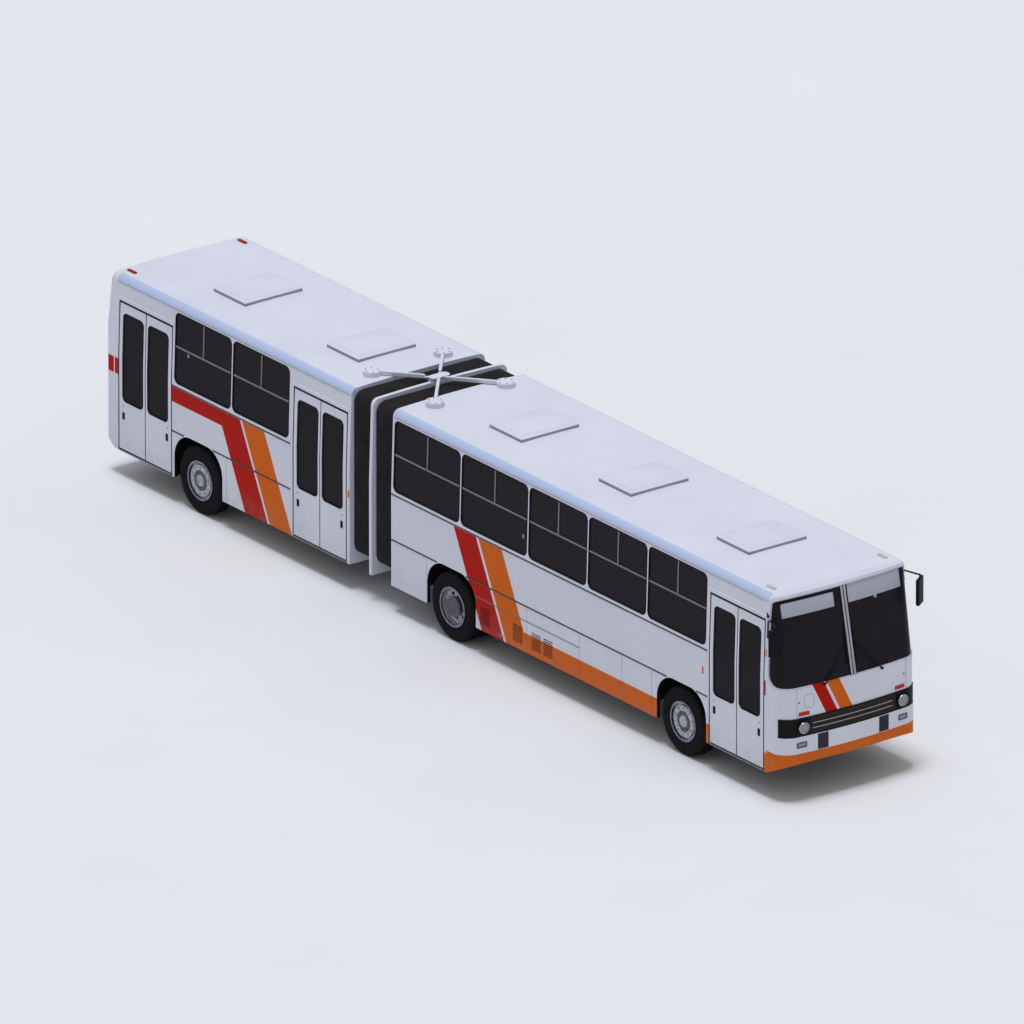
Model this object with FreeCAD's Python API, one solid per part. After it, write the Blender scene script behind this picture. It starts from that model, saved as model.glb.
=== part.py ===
"""Articulated city bus, built as an assembly of separate pieces, in millimetres.

Frame: +X forward, +Y to the left, +Z up. The origin is on the ground, at the middle of the overall
length and width. The front section carries the driver, the engine and two axles. The trailer section
hangs on a turntable behind the second axle, and a hoop between the two bellows turns half as far.
"""
import FreeCAD, Part
import math
import os

V = FreeCAD.Vector

# ---------------------------------------------------------------- driving sizes
NOSE_LONG = 446.0            # front bumper face to the pillar before the front door
WHEELBASE_FRONT = 5544.0     # front axle to drive axle
WHEELBASE_REAR = 6183.0      # drive axle to trailer axle
AXLE_TO_DOOR = 663.0         # trailer axle to the rear door's front jamb
PIVOT_BEHIND = 1971.0        # drive axle to the turntable's centre
WIDTH = 2500.0               # over the lower side panels
ROOF_TOP = 3160.0            # crown of the roof
ROOF_FALL = 20.0             # crown of the roof to the top of the cove
COVE_IN = 97.0               # cantrail to the top of the cove, sideways
TUMBLE = 36.0                # how far the side leans in from belt to cantrail
SKIRT_Z = 400.0              # underside of the side panels
BELT_Z = 1850.0              # where the sides begin to lean in
CANT_Z = 3020.0              # cantrail, where side and roof panels meet
FLOOR_Z = 920.0
FLOOR_THICK = 40.0
WALL = 60.0                  # side wall with its lining
ROOF_THICK = 60.0

GAP = 1014.0                 # between the two sections, spanned by the bellows
HOOP_LONG = 64.0             # middle hoop, along the bus
PORTAL_LONG = 40.0           # end hoop of each section, along the bus
PORTAL_IN = 150.0            # body side to the clear passage through the hoops
PORTAL_LOW = 650.0
PORTAL_HIGH = 3030.0
PORTAL_ROUND = 120.0

TYRE_R = 525.0
TYRE_WIDE = 280.0
TYRE_SHOULDER = 45.0
BEAD_R = 293.0
FLANGE_R = 305.0
FLANGE_THICK = 11.0
TWIN_PITCH = 325.0           # between the two tyres of a twin wheel
STEER_IN = 25.0              # body side to the outer face of a steered tyre
DRIVE_IN = 13.0              # body side to the outer face of the outer twin tyre
KINGPIN_IN = 325.0           # outer face of a steered tyre to its kingpin
KINGPIN_R = 24.0
RUNNING = 0.05               # radial clearance of a running fit
SEAT_GAP = 0.3               # between pieces that are seated in each other

ARCH_HALF = 590.0            # wheel arch, half its length
ARCH_TOP = 1132.0
ARCH_FLAT = 230.0            # half of the level stretch on top
ARCH_SHOULDER = 700.0        # height where the arch begins to close in
SHEET = 8.0                  # steel sheet of wheelhouses and step wells
# Wheelhouses in plan: half length, body side to the knee, half length inside, body side to the inner edge
HOUSE_FRONT = (597.0, 460.0, 480.0, 690.0)
HOUSE_DRIVE = (597.0, 450.0, 597.0, 690.0)
HOUSE_REAR = (600.0, 220.0, 550.0, 470.0)

WINDOW_LOW = 1894.0
WINDOW_HIGH = 2998.0
WINDOW_ROUND = 95.0
WINDOW_BAR_Z = 2450.0        # bar under the sliding panes
BAR_WIDE = 28.0
PILLAR = 36.0                # between two windows
END_PILLAR = 48.0            # between the end hoop and the first window
WIDE_WINDOW = 1598.0         # the two rearmost windows of the front section
GLASS_THICK = 6.0
GLASS_DEPTH = 12.0           # glass face behind the panel face

DOOR_WIDE = 1290.0
DOOR_TOP = 2746.0
DOOR_FROM_AXLE = 672.0       # front axle to the front door's rear jamb
DOOR_FROM_PORTAL = 84.0      # trailer's front end to the middle door's front jamb
DOOR_FROM_TAIL = 340.0       # tail to the rear door's rear jamb
DOOR_PILLAR = 72.0           # window or end panel to a door jamb
LEAF_THICK = 40.0
LEAF_GAP = 10.0              # leaf to jamb, and half the gap between leaves
REBATE = 12.0                # jamb set back behind its outer skin, where the leaf's edge passes
REBATE_SKIN = 25.0
LEAF_LOW = 442.0
LEAF_HIGH = 2722.0
LEAF_GLASS_LOW = 1198.0
LEAF_GLASS_HIGH = 2584.0
LEAF_GLASS_ROUND = 85.0
LEAF_GLASS_JAMB = 75.0       # jamb edge of a leaf to its glass
LEAF_GLASS_LEAD = 42.0       # glass to the leaf's leading edge
POST_R = 14.0                # stub shafts that the door arms turn on
POST_DEEP = 90.0             # body side to their axis
POST_IN = 100.0              # a leaf's jamb edge to that axis
STUB_DEEP = 11.0             # a stub's end in the step plate, and in the door header
PIVOT_R = 6.0                # pins between arm and leaf
ARM_THICK = 12.0
ARM_WIDE = 26.0
ARM_CLEAR = 6.0              # arm to leaf, step and header
LUG_WIDE = 44.0              # leaf's pivot lugs
LUG_HIGH = 45.0
HEADER_HIGH = 150.0          # door machine's box over a doorway
HEADER_DEEP = 140.0
PAN_THICK = 18.0             # bottom plate of a step well
STEP_Z = 670.0
WELL_REACH = 730.0           # body side to the step well's inner edge
WELL_SIDE = 32.0             # step well beyond the jambs

RAIL_IN = 830.0              # body side to the middle of a chassis rail
RAIL_WIDE = 80.0
RAIL_LOW = 660.0
RAIL_HIGH = 850.0
CROSS_LONG = 70.0
CROSS_CLEAR = 900.0          # axle to the next cross member that spans the floor
CROSS_END = 700.0            # section's end to its last cross member
CROSS_TONGUE = 600.0         # trailer's front end to its first cross member
CROSS_DOOR = 700.0           # middle door to the cross member behind it
CROSS_TAIL = 1100.0          # trailer axle to the last cross member
ENGINE_FROM = 1700.0         # drive axle to the engine
ENGINE_LONG = 1300.0
ENGINE_LOW = 380.0
JACK_PAD = 15.0              # height of the jacking pads under the trailer's rails
JACK_BEHIND = 1243.0         # trailer axle to those pads
TABLE_LAP = 20.0             # turntable's rim beyond the middle of a rail
TABLE_THICK = 60.0
TABLE_CLEAR = 80.0           # turntable's rim to where the rails have their full height
TABLE_PIN_R = 60.0
DISC_R = 740.0               # floor disc over the turntable
DISC_CLEAR = 8.0

NOSE_CORNER = 300.0
NOSE_BOW = 54.0
NOSE_BACK = 20.0             # bumper face to the nose panel
SCREEN_LOW = 1760.0
SCREEN_HIGH = 3052.0
SCREEN_LEAN = 288.0          # how far the windscreen leans back
SCREEN_TIGHTEN = 186.0       # how much tighter the mask's corners are at the top of that lean
SCREEN_SIDE = 405.0          # bumper face to the windscreen's side edge
SCREEN_LOW_ROUND = 200.0
SCREEN_HIGH_ROUND = 60.0
SCREEN_POST = 60.0
SCREEN_CAP = 30.0            # top of the leaning face to the edge of the roof
CAP_BACK = 80.0              # how far the edge above it falls back to the roof's crown
MIRROR_TOP_RIGHT = 2730.0
MIRROR_TOP_LEFT = 2930.0
MIRROR_HIGH = 400.0
MIRROR_WIDE = 226.0
MIRROR_OUT_RIGHT = 90.0      # body side to the middle of a mirror head
MIRROR_OUT_LEFT = 10.0
MIRROR_TOE = 35.0            # degrees each mirror head is turned
MIRROR_ARM_R = 13.0
BUMPER_TOP = 1000.0
BUMPER_LOW = 595.0
BUMPER_LONG = 330.0
GRILLE_TOP = 1285.0
GRILLE_THICK = 14.0
LAMP_IN = 356.0              # body side to the middle of a headlamp
LAMP_Z = 1146.0
LAMP_R = 90.0
TAIL_CORNER = 90.0
TAIL_BOW = 15.0
TAIL_WINDOW_IN = 270.0       # body side to the rear window
TAIL_WINDOW_LOW = 1930.0
TAIL_WINDOW_HIGH = 2880.0

HATCH_AHEAD = 258.0          # front axle to the first hatch, then drive axle to the next two
HATCH_MIDDLE = 2976.0
HATCH_DRIVE = 338.0
HATCH_TRAILER = 1144.0       # trailer's front end to its first hatch
HATCH_REAR = 211.0           # trailer axle to its second
HATCH_LONG = 775.0
HATCH_WIDE = 1040.0
HATCH_HIGH = 45.0
FOOT_R = 140.0               # round feet of the roof linkage
FOOT_X = 763.0               # foot from the pivot, along the bus
FOOT_Y = 645.0
LINK_TOP = 3232.0
LINK_HIGH = 24.0             # eye of a roof link
LINK_CLEAR = 2.0             # beside an eye
LINK_WIDE = 44.0
LINK_PLATE = 8.0             # top plate of the hoop's block
LINK_EYE = 215.0             # pivot to where a link has its full height
BELLOWS_IN = 67.0            # bellows behind the side panel
BELLOWS_FOLD = 55.0
BELLOWS_FOLDS = 8
BELLOWS_SKIN = 9.0
BELLOWS_LOW = 553.0
BELLOWS_ROUND = 170.0

SEAT_LONG = 430.0
SEAT_WIDE = 860.0
SEAT_Z = 1370.0
SEAT_PITCH = 740.0
DRIVER_IN = 610.0            # body side to the middle of the driver's seat
DESK_IN = 170.0              # body side to the driver's desk

# ---------------------------------------------------------------- places worked out from them
FRONT_OVERHANG = DOOR_FROM_AXLE + DOOR_WIDE + DOOR_PILLAR + NOSE_LONG
REAR_OVERHANG = AXLE_TO_DOOR + DOOR_WIDE + DOOR_FROM_TAIL
LENGTH = FRONT_OVERHANG + WHEELBASE_FRONT + WHEELBASE_REAR + REAR_OVERHANG
HALF = WIDTH / 2
NOSE_X = LENGTH / 2
TAIL_X = -LENGTH / 2
FRONT_AXLE = NOSE_X - FRONT_OVERHANG
DRIVE_AXLE = FRONT_AXLE - WHEELBASE_FRONT
REAR_AXLE = DRIVE_AXLE - WHEELBASE_REAR
PIVOT = DRIVE_AXLE - PIVOT_BEHIND
FRONT_END = PIVOT + GAP / 2           # rear end of the front section
TRAILER_END = PIVOT - GAP / 2         # front end of the trailer section
AXLE_Z = TYRE_R
NOSE_PANEL = NOSE_X - NOSE_BACK
CAP_LOW = ROOF_TOP - ROOF_FALL - SCREEN_CAP
PORTAL_SIDE = HALF - PORTAL_IN
STEER_FACE = HALF - STEER_IN
DRIVE_FACE = HALF - DRIVE_IN
KINGPIN_Y = STEER_FACE - KINGPIN_IN
POST_Y = HALF - POST_DEEP
WELL_DEEP = HALF - WELL_REACH
RAIL_Y = HALF - RAIL_IN
LAMP_Y = HALF - LAMP_IN
DRIVER_Y = HALF - DRIVER_IN
TAIL_WINDOW_HALF = HALF - TAIL_WINDOW_IN
TABLE_R = RAIL_Y + TABLE_LAP
TONGUE = TABLE_R + TABLE_CLEAR
ENGINE_START = DRIVE_AXLE + ENGINE_FROM

FRONT_DOOR = FRONT_AXLE + DOOR_FROM_AXLE                       # rear jamb of each door
MIDDLE_DOOR = TRAILER_END - DOOR_FROM_PORTAL - DOOR_WIDE
REAR_DOOR = TAIL_X + DOOR_FROM_TAIL
NOSE_START = FRONT_DOOR + DOOR_WIDE + DOOR_PILLAR
TAIL_START = REAR_DOOR - DOOR_PILLAR
DOORS = {"front": FRONT_DOOR, "middle": MIDDLE_DOOR, "rear": REAR_DOOR}

PAN_TOP = SKIRT_Z + PAN_THICK
LEAF_WIDE = DOOR_WIDE / 2 - 2 * LEAF_GAP
ARM_REACH = (LEAF_WIDE - POST_IN) / 2     # stub shaft to the leaf's pivot, and pivot to its leading edge
SECTION_FRONT = (FRONT_END + PORTAL_LONG, NOSE_START)
SECTION_TRAILER = (TAIL_START, TRAILER_END - PORTAL_LONG)


# ---------------------------------------------------------------- shape helpers
def place(plane, level, u, v):
    """A point given by two coordinates in a plane and the level of that plane."""
    return {"yz": V(level, u, v), "xz": V(u, level, v), "xy": V(u, v, level)}[plane]


def closed_wire(plane, level, outline):
    """A closed outline at a level.

    Each row of the outline is (u, v) for a corner, or (u, v, mid_u, mid_v) for an arc that ends there.
    """
    edges = []
    last = place(plane, level, *outline[-1][:2])
    for row in outline:
        here = place(plane, level, *row[:2])
        if len(row) == 4:
            edges.append(Part.Arc(last, place(plane, level, *row[2:]), here).toShape())
        elif (here - last).Length > 1e-6:
            edges.append(Part.LineSegment(last, here).toShape())
        last = here
    return Part.Wire(edges)


def prism(plane, low, high, outline):
    """A closed outline pushed from one level to another."""
    face = Part.Face(closed_wire(plane, low, outline))
    return face.extrude(place(plane, high, 0, 0) - place(plane, low, 0, 0))


def box(x0, x1, y0, y1, z0, z1):
    return Part.makeBox(abs(x1 - x0), abs(y1 - y0), abs(z1 - z0), V(min(x0, x1), min(y0, y1), min(z0, z1)))


def rod(radius, start, end):
    """A round bar between two points."""
    along = end - start
    return Part.makeCylinder(radius, along.Length, start, along)


def fuse(shapes):
    shapes = list(shapes)
    joined = shapes[0] if len(shapes) == 1 else shapes[0].multiFuse(shapes[1:])
    return joined.removeSplitter()


def cut(shape, tools):
    tools = list(tools)
    return shape.cut(Part.makeCompound(tools)) if tools else shape


def rounded(plane, low, high, u0, u1, v0, v1, radius):
    """A prism with a rounded rectangular outline."""
    r = radius
    k = r * (1 - math.sqrt(0.5))
    return prism(plane, low, high, [
        (u0 + r, v0), (u1 - r, v0), (u1, v0 + r, u1 - k, v0 + k), (u1, v1 - r),
        (u1 - r, v1, u1 - k, v1 - k), (u0 + r, v1), (u0, v1 - r, u0 + k, v1 - k),
        (u0, v0 + r), (u0 + r, v0, u0 + k, v0 + k)])


def turned(centre, outline):
    """A solid of revolution about an axis along Y. Rows are (distance along Y, radius)."""
    points = [centre + V(0, along, radius) for along, radius in outline]
    face = Part.Face(Part.makePolygon(points + points[:1]))
    return face.revolve(centre, V(0, 1, 0), 360)


def solids(shapes):
    """One compound of all the solids in the shapes."""
    return Part.makeCompound([s for shape in shapes for s in shape.Solids])


# ---------------------------------------------------------------- body shell
def section(inset, x0, x1, low=SKIRT_Z):
    """The body's full cross-section, set in by a wall thickness, along part of the bus."""
    side = HALF - inset
    cant = HALF - TUMBLE - inset
    edge = (HALF - TUMBLE - COVE_IN - inset * 0.55, ROOF_TOP - ROOF_FALL - inset)
    bulge = 0.2 * (COVE_IN + ROOF_TOP - ROOF_FALL - CANT_Z) / 2
    mid = ((cant + edge[0]) / 2 + bulge, (CANT_Z + edge[1]) / 2 + bulge)
    return prism("yz", x0, x1, [
        (-side, low), (-side, BELT_Z), (-cant, CANT_Z), (-edge[0], edge[1], -mid[0], mid[1]),
        (edge[0], edge[1], 0, ROOF_TOP - inset), (cant, CANT_Z, mid[0], mid[1]),
        (side, BELT_Z), (side, low)])


def side_skin(outer, inner, x0, x1, right):
    """A layer of one side between two depths below the panel face."""
    layer = section(outer, x0, x1).cut(section(inner, x0 - 1, x1 + 1, SKIRT_Z - 1))
    far = -HALF - 1 if right else 0
    return layer.common(box(x0, x1, far, far + HALF + 1, SKIRT_Z, CANT_Z))


def spread(start, end, count):
    """Equal windows between two places, with a pillar between neighbours, as (start, end) rows."""
    wide = (end - start - (count - 1) * PILLAR) / count
    return [(start + i * (wide + PILLAR), start + i * (wide + PILLAR) + wide) for i in range(count)]


def front_windows(right):
    start = FRONT_END + END_PILLAR
    rows = [(start + i * (WIDE_WINDOW + PILLAR), start + i * (WIDE_WINDOW + PILLAR) + WIDE_WINDOW)
            for i in range(2)]
    rows += spread(rows[-1][1] + PILLAR, FRONT_DOOR - DOOR_PILLAR - 24, 3)
    return rows if right else rows + [(FRONT_DOOR, FRONT_DOOR + DOOR_WIDE)]


def trailer_windows(right):
    rows = spread(REAR_DOOR + DOOR_WIDE + DOOR_PILLAR, MIDDLE_DOOR - DOOR_PILLAR - 48, 2)
    if right:
        return rows
    return [(REAR_DOOR, REAR_DOOR + DOOR_WIDE)] + rows + [(MIDDLE_DOOR, MIDDLE_DOOR + DOOR_WIDE)]


def window_hole(row, right, clear=0.0):
    """The rounded prism of one side window."""
    far = -HALF - 50 if right else HALF - WALL - TUMBLE - 50
    return rounded("xz", far, far + WALL + TUMBLE + 100, row[0] + clear, row[1] - clear, WINDOW_LOW + clear,
                   WINDOW_HIGH - clear, WINDOW_ROUND - clear)


def arch(axle, right):
    """The wheel opening in a side."""
    y0 = -HALF - 10 if right else HALF - WALL - 10
    mid_x = ARCH_FLAT + (ARCH_HALF - ARCH_FLAT) * math.sqrt(0.5)
    mid_z = ARCH_SHOULDER + (ARCH_TOP - ARCH_SHOULDER) * math.sqrt(0.5)
    return prism("xz", y0, y0 + WALL + 20, [
        (axle - ARCH_HALF, SKIRT_Z - 10), (axle + ARCH_HALF, SKIRT_Z - 10),
        (axle + ARCH_HALF, ARCH_SHOULDER),
        (axle + ARCH_FLAT, ARCH_TOP, axle + mid_x, mid_z), (axle - ARCH_FLAT, ARCH_TOP),
        (axle - ARCH_HALF, ARCH_SHOULDER, axle - mid_x, mid_z)])


def doorway(jamb):
    """What one doorway takes out of the right side: the opening, wider behind its outer skin."""
    far = jamb + DOOR_WIDE
    wall_y = -HALF + WALL + TUMBLE + 5
    return [box(jamb, far, -HALF - 5, wall_y, SKIRT_Z - 5, DOOR_TOP),
            box(jamb - REBATE, far + REBATE, -HALF + REBATE_SKIN, wall_y, PAN_TOP, DOOR_TOP)]


def header(jamb):
    """The door machine's box inside the wall over a doorway."""
    inner = -HALF + WALL + TUMBLE
    return box(jamb - WELL_SIDE, jamb + DOOR_WIDE + WELL_SIDE, inner - 26, inner + HEADER_DEEP - 26,
               DOOR_TOP, DOOR_TOP + HEADER_HIGH)


def stub_bores(jamb, start, direction):
    """Blind bores for the stub shafts of both arms of a door, from a level up or down."""
    return [rod(POST_R + RUNNING, V(x, -POST_Y, start), V(x, -POST_Y, start + direction * (STUB_DEEP + 1)))
            for x in (post_x(jamb, 1), post_x(jamb + DOOR_WIDE, -1))]


def side(x_range, right, windows, axles, jambs):
    tools = [window_hole(row, right) for row in windows] + [arch(axle, right) for axle in axles]
    for jamb in jambs:
        tools += doorway(jamb)
    wall = cut(side_skin(0, WALL, x_range[0], x_range[1], right), tools)
    bores = [bore for jamb in jambs for bore in stub_bores(jamb, DOOR_TOP, 1)]
    return cut(fuse([wall] + [header(jamb) for jamb in jambs]), bores)


def window_unit(row, right):
    """One pane with the bars of its sliding panes."""
    x0, x1 = row
    near = window_hole(row, right, SEAT_GAP)
    middle = (x0 + x1) / 2
    y0, y1 = (-HALF - 10, 0) if right else (0, HALF + 10)
    bars = fuse([box(x0, x1, y0, y1, WINDOW_BAR_Z, WINDOW_BAR_Z + BAR_WIDE),
                 box(middle - BAR_WIDE / 2, middle + BAR_WIDE / 2, y0, y1, WINDOW_BAR_Z, WINDOW_HIGH)])
    pane = side_skin(GLASS_DEPTH, GLASS_DEPTH + GLASS_THICK, x0, x1, right)
    frame = side_skin(GLASS_DEPTH / 2, GLASS_DEPTH * 2, x0, x1, right).common(bars)
    return fuse([pane, frame]).common(near)


def portal(x0, x1):
    """An end hoop: the body's full outline round the passage."""
    hole = rounded("yz", x0 - 1, x1 + 1, -PORTAL_SIDE, PORTAL_SIDE, PORTAL_LOW, PORTAL_HIGH, PORTAL_ROUND)
    return section(0, x0, x1).cut(hole)


def roof(x0, x1, portal_range):
    """The roof shell of a section, and the hoop at the section's end."""
    shell = section(0, x0, x1).cut(section(ROOF_THICK, x0 - 1, x1 + 1, SKIRT_Z - 1))
    shell = shell.common(box(x0 + SEAT_GAP, x1 - SEAT_GAP, -HALF, HALF, CANT_Z, ROOF_TOP + 1))
    return solids([shell, portal(*portal_range)])


# ---------------------------------------------------------------- nose and tail
def nose_rows(inset, back=0.0, tighter=0.0, narrower=0.0):
    """The nose's outline in plan: straight sides, round corners and a bowed front."""
    side_y = HALF - narrower - inset
    r = NOSE_CORNER - tighter - inset
    front = NOSE_PANEL - NOSE_BOW - back - inset
    start = NOSE_START - NOSE_CORNER
    centre_x = front - r
    centre_y = side_y - r
    k = r * math.sqrt(0.5)
    return [(start, -side_y), (centre_x, -side_y), (front, -centre_y, centre_x + k, -centre_y - k),
            (front, centre_y, front + NOSE_BOW, 0), (centre_x, side_y, centre_x + k, centre_y + k),
            (start, side_y)]


def nose_plan(inset, z0, z1):
    return prism("xy", z0, z1, nose_rows(inset))


def screen_lean():
    """How far back the windscreen goes for each millimetre up."""
    return SCREEN_LEAN / (CAP_LOW - SCREEN_LOW)


def nose_upper(inset):
    """The nose above the lower edge of the windscreen, which leans back while its corners tighten."""
    top = ROOF_TOP + 10
    fall = CAP_BACK / (ROOF_TOP - CAP_LOW)
    wires = [closed_wire("xy", SCREEN_LOW, nose_rows(inset))]
    for level, back in ((CAP_LOW, SCREEN_LEAN), (top, SCREEN_LEAN + fall * (top - CAP_LOW))):
        narrower = TUMBLE * (level - BELT_Z) / (CANT_Z - BELT_Z)
        wires.append(closed_wire("xy", level, nose_rows(inset, back, SCREEN_TIGHTEN, narrower)))
    return [Part.makeLoft(list(pair), True, True) for pair in zip(wires, wires[1:])]


def nose_profile(inset):
    """The nose from the side, with its rising underside."""
    x = NOSE_PANEL + 5
    rise = (BUMPER_LOW - SKIRT_Z) / (NOSE_PANEL - NOSE_START)
    return prism("xz", -HALF - 1, HALF + 1, [
        (NOSE_START, SKIRT_Z - inset), (x, SKIRT_Z + rise * (x - NOSE_START) - inset), (x, ROOF_TOP + 20),
        (NOSE_START, ROOF_TOP + 20)])


def nose_solid(inset):
    whole = fuse([nose_plan(inset, SKIRT_Z - 50, SCREEN_LOW)] + nose_upper(inset))
    return whole.common(nose_profile(inset)).common(section(inset, NOSE_START, NOSE_X, SKIRT_Z - 50))


def screen_hole(clear=0.0):
    """The windscreen's opening, which wraps round both corners, less the centre post."""
    back = NOSE_X - SCREEN_SIDE + clear
    lower = rounded("xz", -HALF - 5, HALF + 5, back, NOSE_X + 400, SCREEN_LOW + clear, SCREEN_HIGH + 500,
                    SCREEN_LOW_ROUND - clear)
    upper = rounded("xz", -HALF - 5, HALF + 5, back, NOSE_X + 400, SCREEN_LOW - 500, SCREEN_HIGH - clear,
                    SCREEN_HIGH_ROUND - clear)
    whole = lower.common(upper)
    post_half = SCREEN_POST / 2 + clear
    post = box(NOSE_START, NOSE_X + 300, -post_half, post_half, SKIRT_Z, ROOF_TOP)
    return whole.cut(post)


def nose():
    """The front mask, down to the bumper, with its windscreen opening and centre post."""
    shell = nose_solid(0).cut(nose_solid(WALL))
    opened = shell.cut(screen_hole())
    below = box(NOSE_X - BUMPER_LONG, NOSE_X + 10, -HALF - 5, HALF + 5, SKIRT_Z - 60, BUMPER_TOP)
    return opened.cut(below)


def bumper():
    """The deep front bumper, proud of the mask above it."""
    outer = nose_plan(-NOSE_BACK, SKIRT_Z - 60, BUMPER_TOP)
    inner = nose_plan(WALL - NOSE_BACK, SKIRT_Z - 70, BUMPER_TOP + 10)
    start = NOSE_X - BUMPER_LONG
    rise = (BUMPER_LOW - SKIRT_Z) / (NOSE_PANEL - NOSE_START)
    under = prism("xz", -HALF - 30, HALF + 30, [
        (start, SKIRT_Z + rise * (start - NOSE_START)), (NOSE_PANEL, BUMPER_LOW), (NOSE_X + 10, BUMPER_LOW),
        (NOSE_X + 10, BUMPER_TOP), (start, BUMPER_TOP)])
    return outer.cut(inner).common(under).common(box(start, NOSE_X + 10, -HALF, HALF, 0, BUMPER_TOP))


def grille():
    """The dark band with the two headlamps, on the face of the mask."""
    band = nose_plan(-GRILLE_THICK, BUMPER_TOP + SEAT_GAP, GRILLE_TOP).cut(
        nose_plan(0, BUMPER_TOP, GRILLE_TOP + 10))
    band = band.common(box(NOSE_X - 215, NOSE_X + 10, -HALF + 2, HALF - 2, 0, ROOF_TOP))
    lamps = []
    for y in (-LAMP_Y, LAMP_Y):
        lamp = rod(LAMP_R, V(NOSE_PANEL - NOSE_BOW + 20, y, LAMP_Z), V(NOSE_PANEL, y, LAMP_Z))
        lamps.append(lamp.cut(nose_plan(0, SKIRT_Z, ROOF_TOP)))
    return fuse([band] + lamps)


def windscreen():
    glass = nose_solid(GLASS_DEPTH).cut(nose_solid(GLASS_DEPTH + GLASS_THICK))
    return glass.common(screen_hole(SEAT_GAP))


def tail_plan(inset, z0, z1):
    side_y = HALF - inset
    r = TAIL_CORNER - inset
    back = TAIL_X + TAIL_BOW + inset
    centre_x = back + r
    centre_y = side_y - r
    k = r * math.sqrt(0.5)
    return prism("xy", z0, z1, [
        (TAIL_START, -side_y), (centre_x, -side_y), (back, -centre_y, centre_x - k, -centre_y - k),
        (back, centre_y, back - TAIL_BOW, 0), (centre_x, side_y, centre_x - k, centre_y + k),
        (TAIL_START, side_y)])


def tail_profile(inset):
    """The tail from the side: tucked-in underside, upright panel and leaning rear window."""
    x = TAIL_X + inset
    return prism("xz", -HALF - 1, HALF + 1, [
        (TAIL_START, SKIRT_Z - inset), (x + 230, SKIRT_Z - inset), (x + 20, SKIRT_Z + 150),
        (x - 5, SKIRT_Z + 500), (x - 5, BELT_Z - 100), (x + 70, BELT_Z + 550), (x + 130, CANT_Z),
        (x + 160, ROOF_TOP - inset),
        (TAIL_START, ROOF_TOP + 5)])


def tail_solid(inset):
    return tail_plan(inset, SKIRT_Z - 60, ROOF_TOP + 10).common(tail_profile(inset)).common(
        section(inset, TAIL_X, TAIL_START, SKIRT_Z - 60))


def tail_hole(clear=0.0):
    return rounded("yz", TAIL_X - 10, TAIL_X + 320, -TAIL_WINDOW_HALF + clear, TAIL_WINDOW_HALF - clear,
                   TAIL_WINDOW_LOW + clear, TAIL_WINDOW_HIGH - clear, 110 - clear)


def tail():
    return tail_solid(0).cut(tail_solid(WALL)).cut(tail_hole())


def tail_glass():
    return tail_solid(GLASS_DEPTH).cut(tail_solid(GLASS_DEPTH + GLASS_THICK)).common(tail_hole(SEAT_GAP))


# ---------------------------------------------------------------- floors, step wells and wheelhouses
def well_box(jamb, grow, z0, z1):
    """A step well's outline: the doorway, a little wider, from the wall inwards."""
    side_x = WELL_SIDE + grow
    return box(jamb - side_x, jamb + DOOR_WIDE + side_x, -HALF + WALL, -WELL_DEEP + grow, z0, z1)


def step_well(jamb):
    """The sheet-steel well behind a door, with its tread, the second step and the arms' lower bearings."""
    far = jamb + DOOR_WIDE
    well = well_box(jamb, SHEET, SKIRT_Z, FLOOR_Z).cut(well_box(jamb, 0, PAN_TOP, FLOOR_Z + 10))
    sill = box(jamb, far, -HALF, -HALF + WALL, SKIRT_Z, PAN_TOP)
    outline = [(320, -HALF + 310), (150, -HALF + 430), (85, -HALF + 570), (85, -WELL_DEEP)]
    step = prism("xy", PAN_TOP, STEP_Z, [(jamb + x, y) for x, y in outline] + [
        (far - x, y) for x, y in reversed(outline)])
    return cut(fuse([well, sill, step]), stub_bores(jamb, PAN_TOP, -1))


def house_plan(axle, sizes, sign, grow, z0, z1):
    """A wheelhouse in plan, with its inner corners cut off where the tyre doesn't reach."""
    half, knee_deep, short, deep = (size + grow for size in sizes)
    wall_y, knee, inner = HALF - WALL, HALF - knee_deep, HALF - deep
    outline = [(-half, wall_y), (-half, knee), (-short, inner), (short, inner), (half, knee), (half, wall_y)]
    return prism("xy", z0, z1, [(axle + x, sign * y) for x, y in outline])


def wheelhouse(axle, sizes, sign):
    shell = house_plan(axle, sizes, sign, SHEET, RAIL_LOW, ARCH_TOP + SHEET)
    return shell.cut(house_plan(axle, sizes, sign, 0, RAIL_LOW - 1, ARCH_TOP))


def floor(x0, x1, jambs, axles):
    """A floor slab with its step wells and wheelhouses. Axle rows are (place, wheelhouse sizes)."""
    slab = box(x0, x1, -HALF + WALL, HALF - WALL, FLOOR_Z - FLOOR_THICK, FLOOR_Z)
    holes = [well_box(jamb, SHEET / 2, 0, FLOOR_Z + 1) for jamb in jambs]
    houses = []
    for axle, sizes in axles:
        for sign in (-1, 1):
            holes.append(house_plan(axle, sizes, sign, SHEET / 2, 0, FLOOR_Z + 1))
            houses.append(wheelhouse(axle, sizes, sign))
    disc = rod(DISC_R + DISC_CLEAR, V(PIVOT, 0, 0), V(PIVOT, 0, FLOOR_Z + 1))
    return fuse([cut(slab, holes + [disc])] + houses + [step_well(jamb) for jamb in jambs])


# ---------------------------------------------------------------- chassis
def rails(x0, x1, y=RAIL_Y):
    return [box(x0, x1, sign * y - RAIL_WIDE / 2, sign * y + RAIL_WIDE / 2, RAIL_LOW, RAIL_HIGH)
            for sign in (-1, 1)]


def cross_members(places, half):
    """Cross members over the rails, which carry the floor."""
    return [box(x - CROSS_LONG / 2, x + CROSS_LONG / 2, -half, half, RAIL_HIGH, FLOOR_Z - FLOOR_THICK)
            for x in places]


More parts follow.
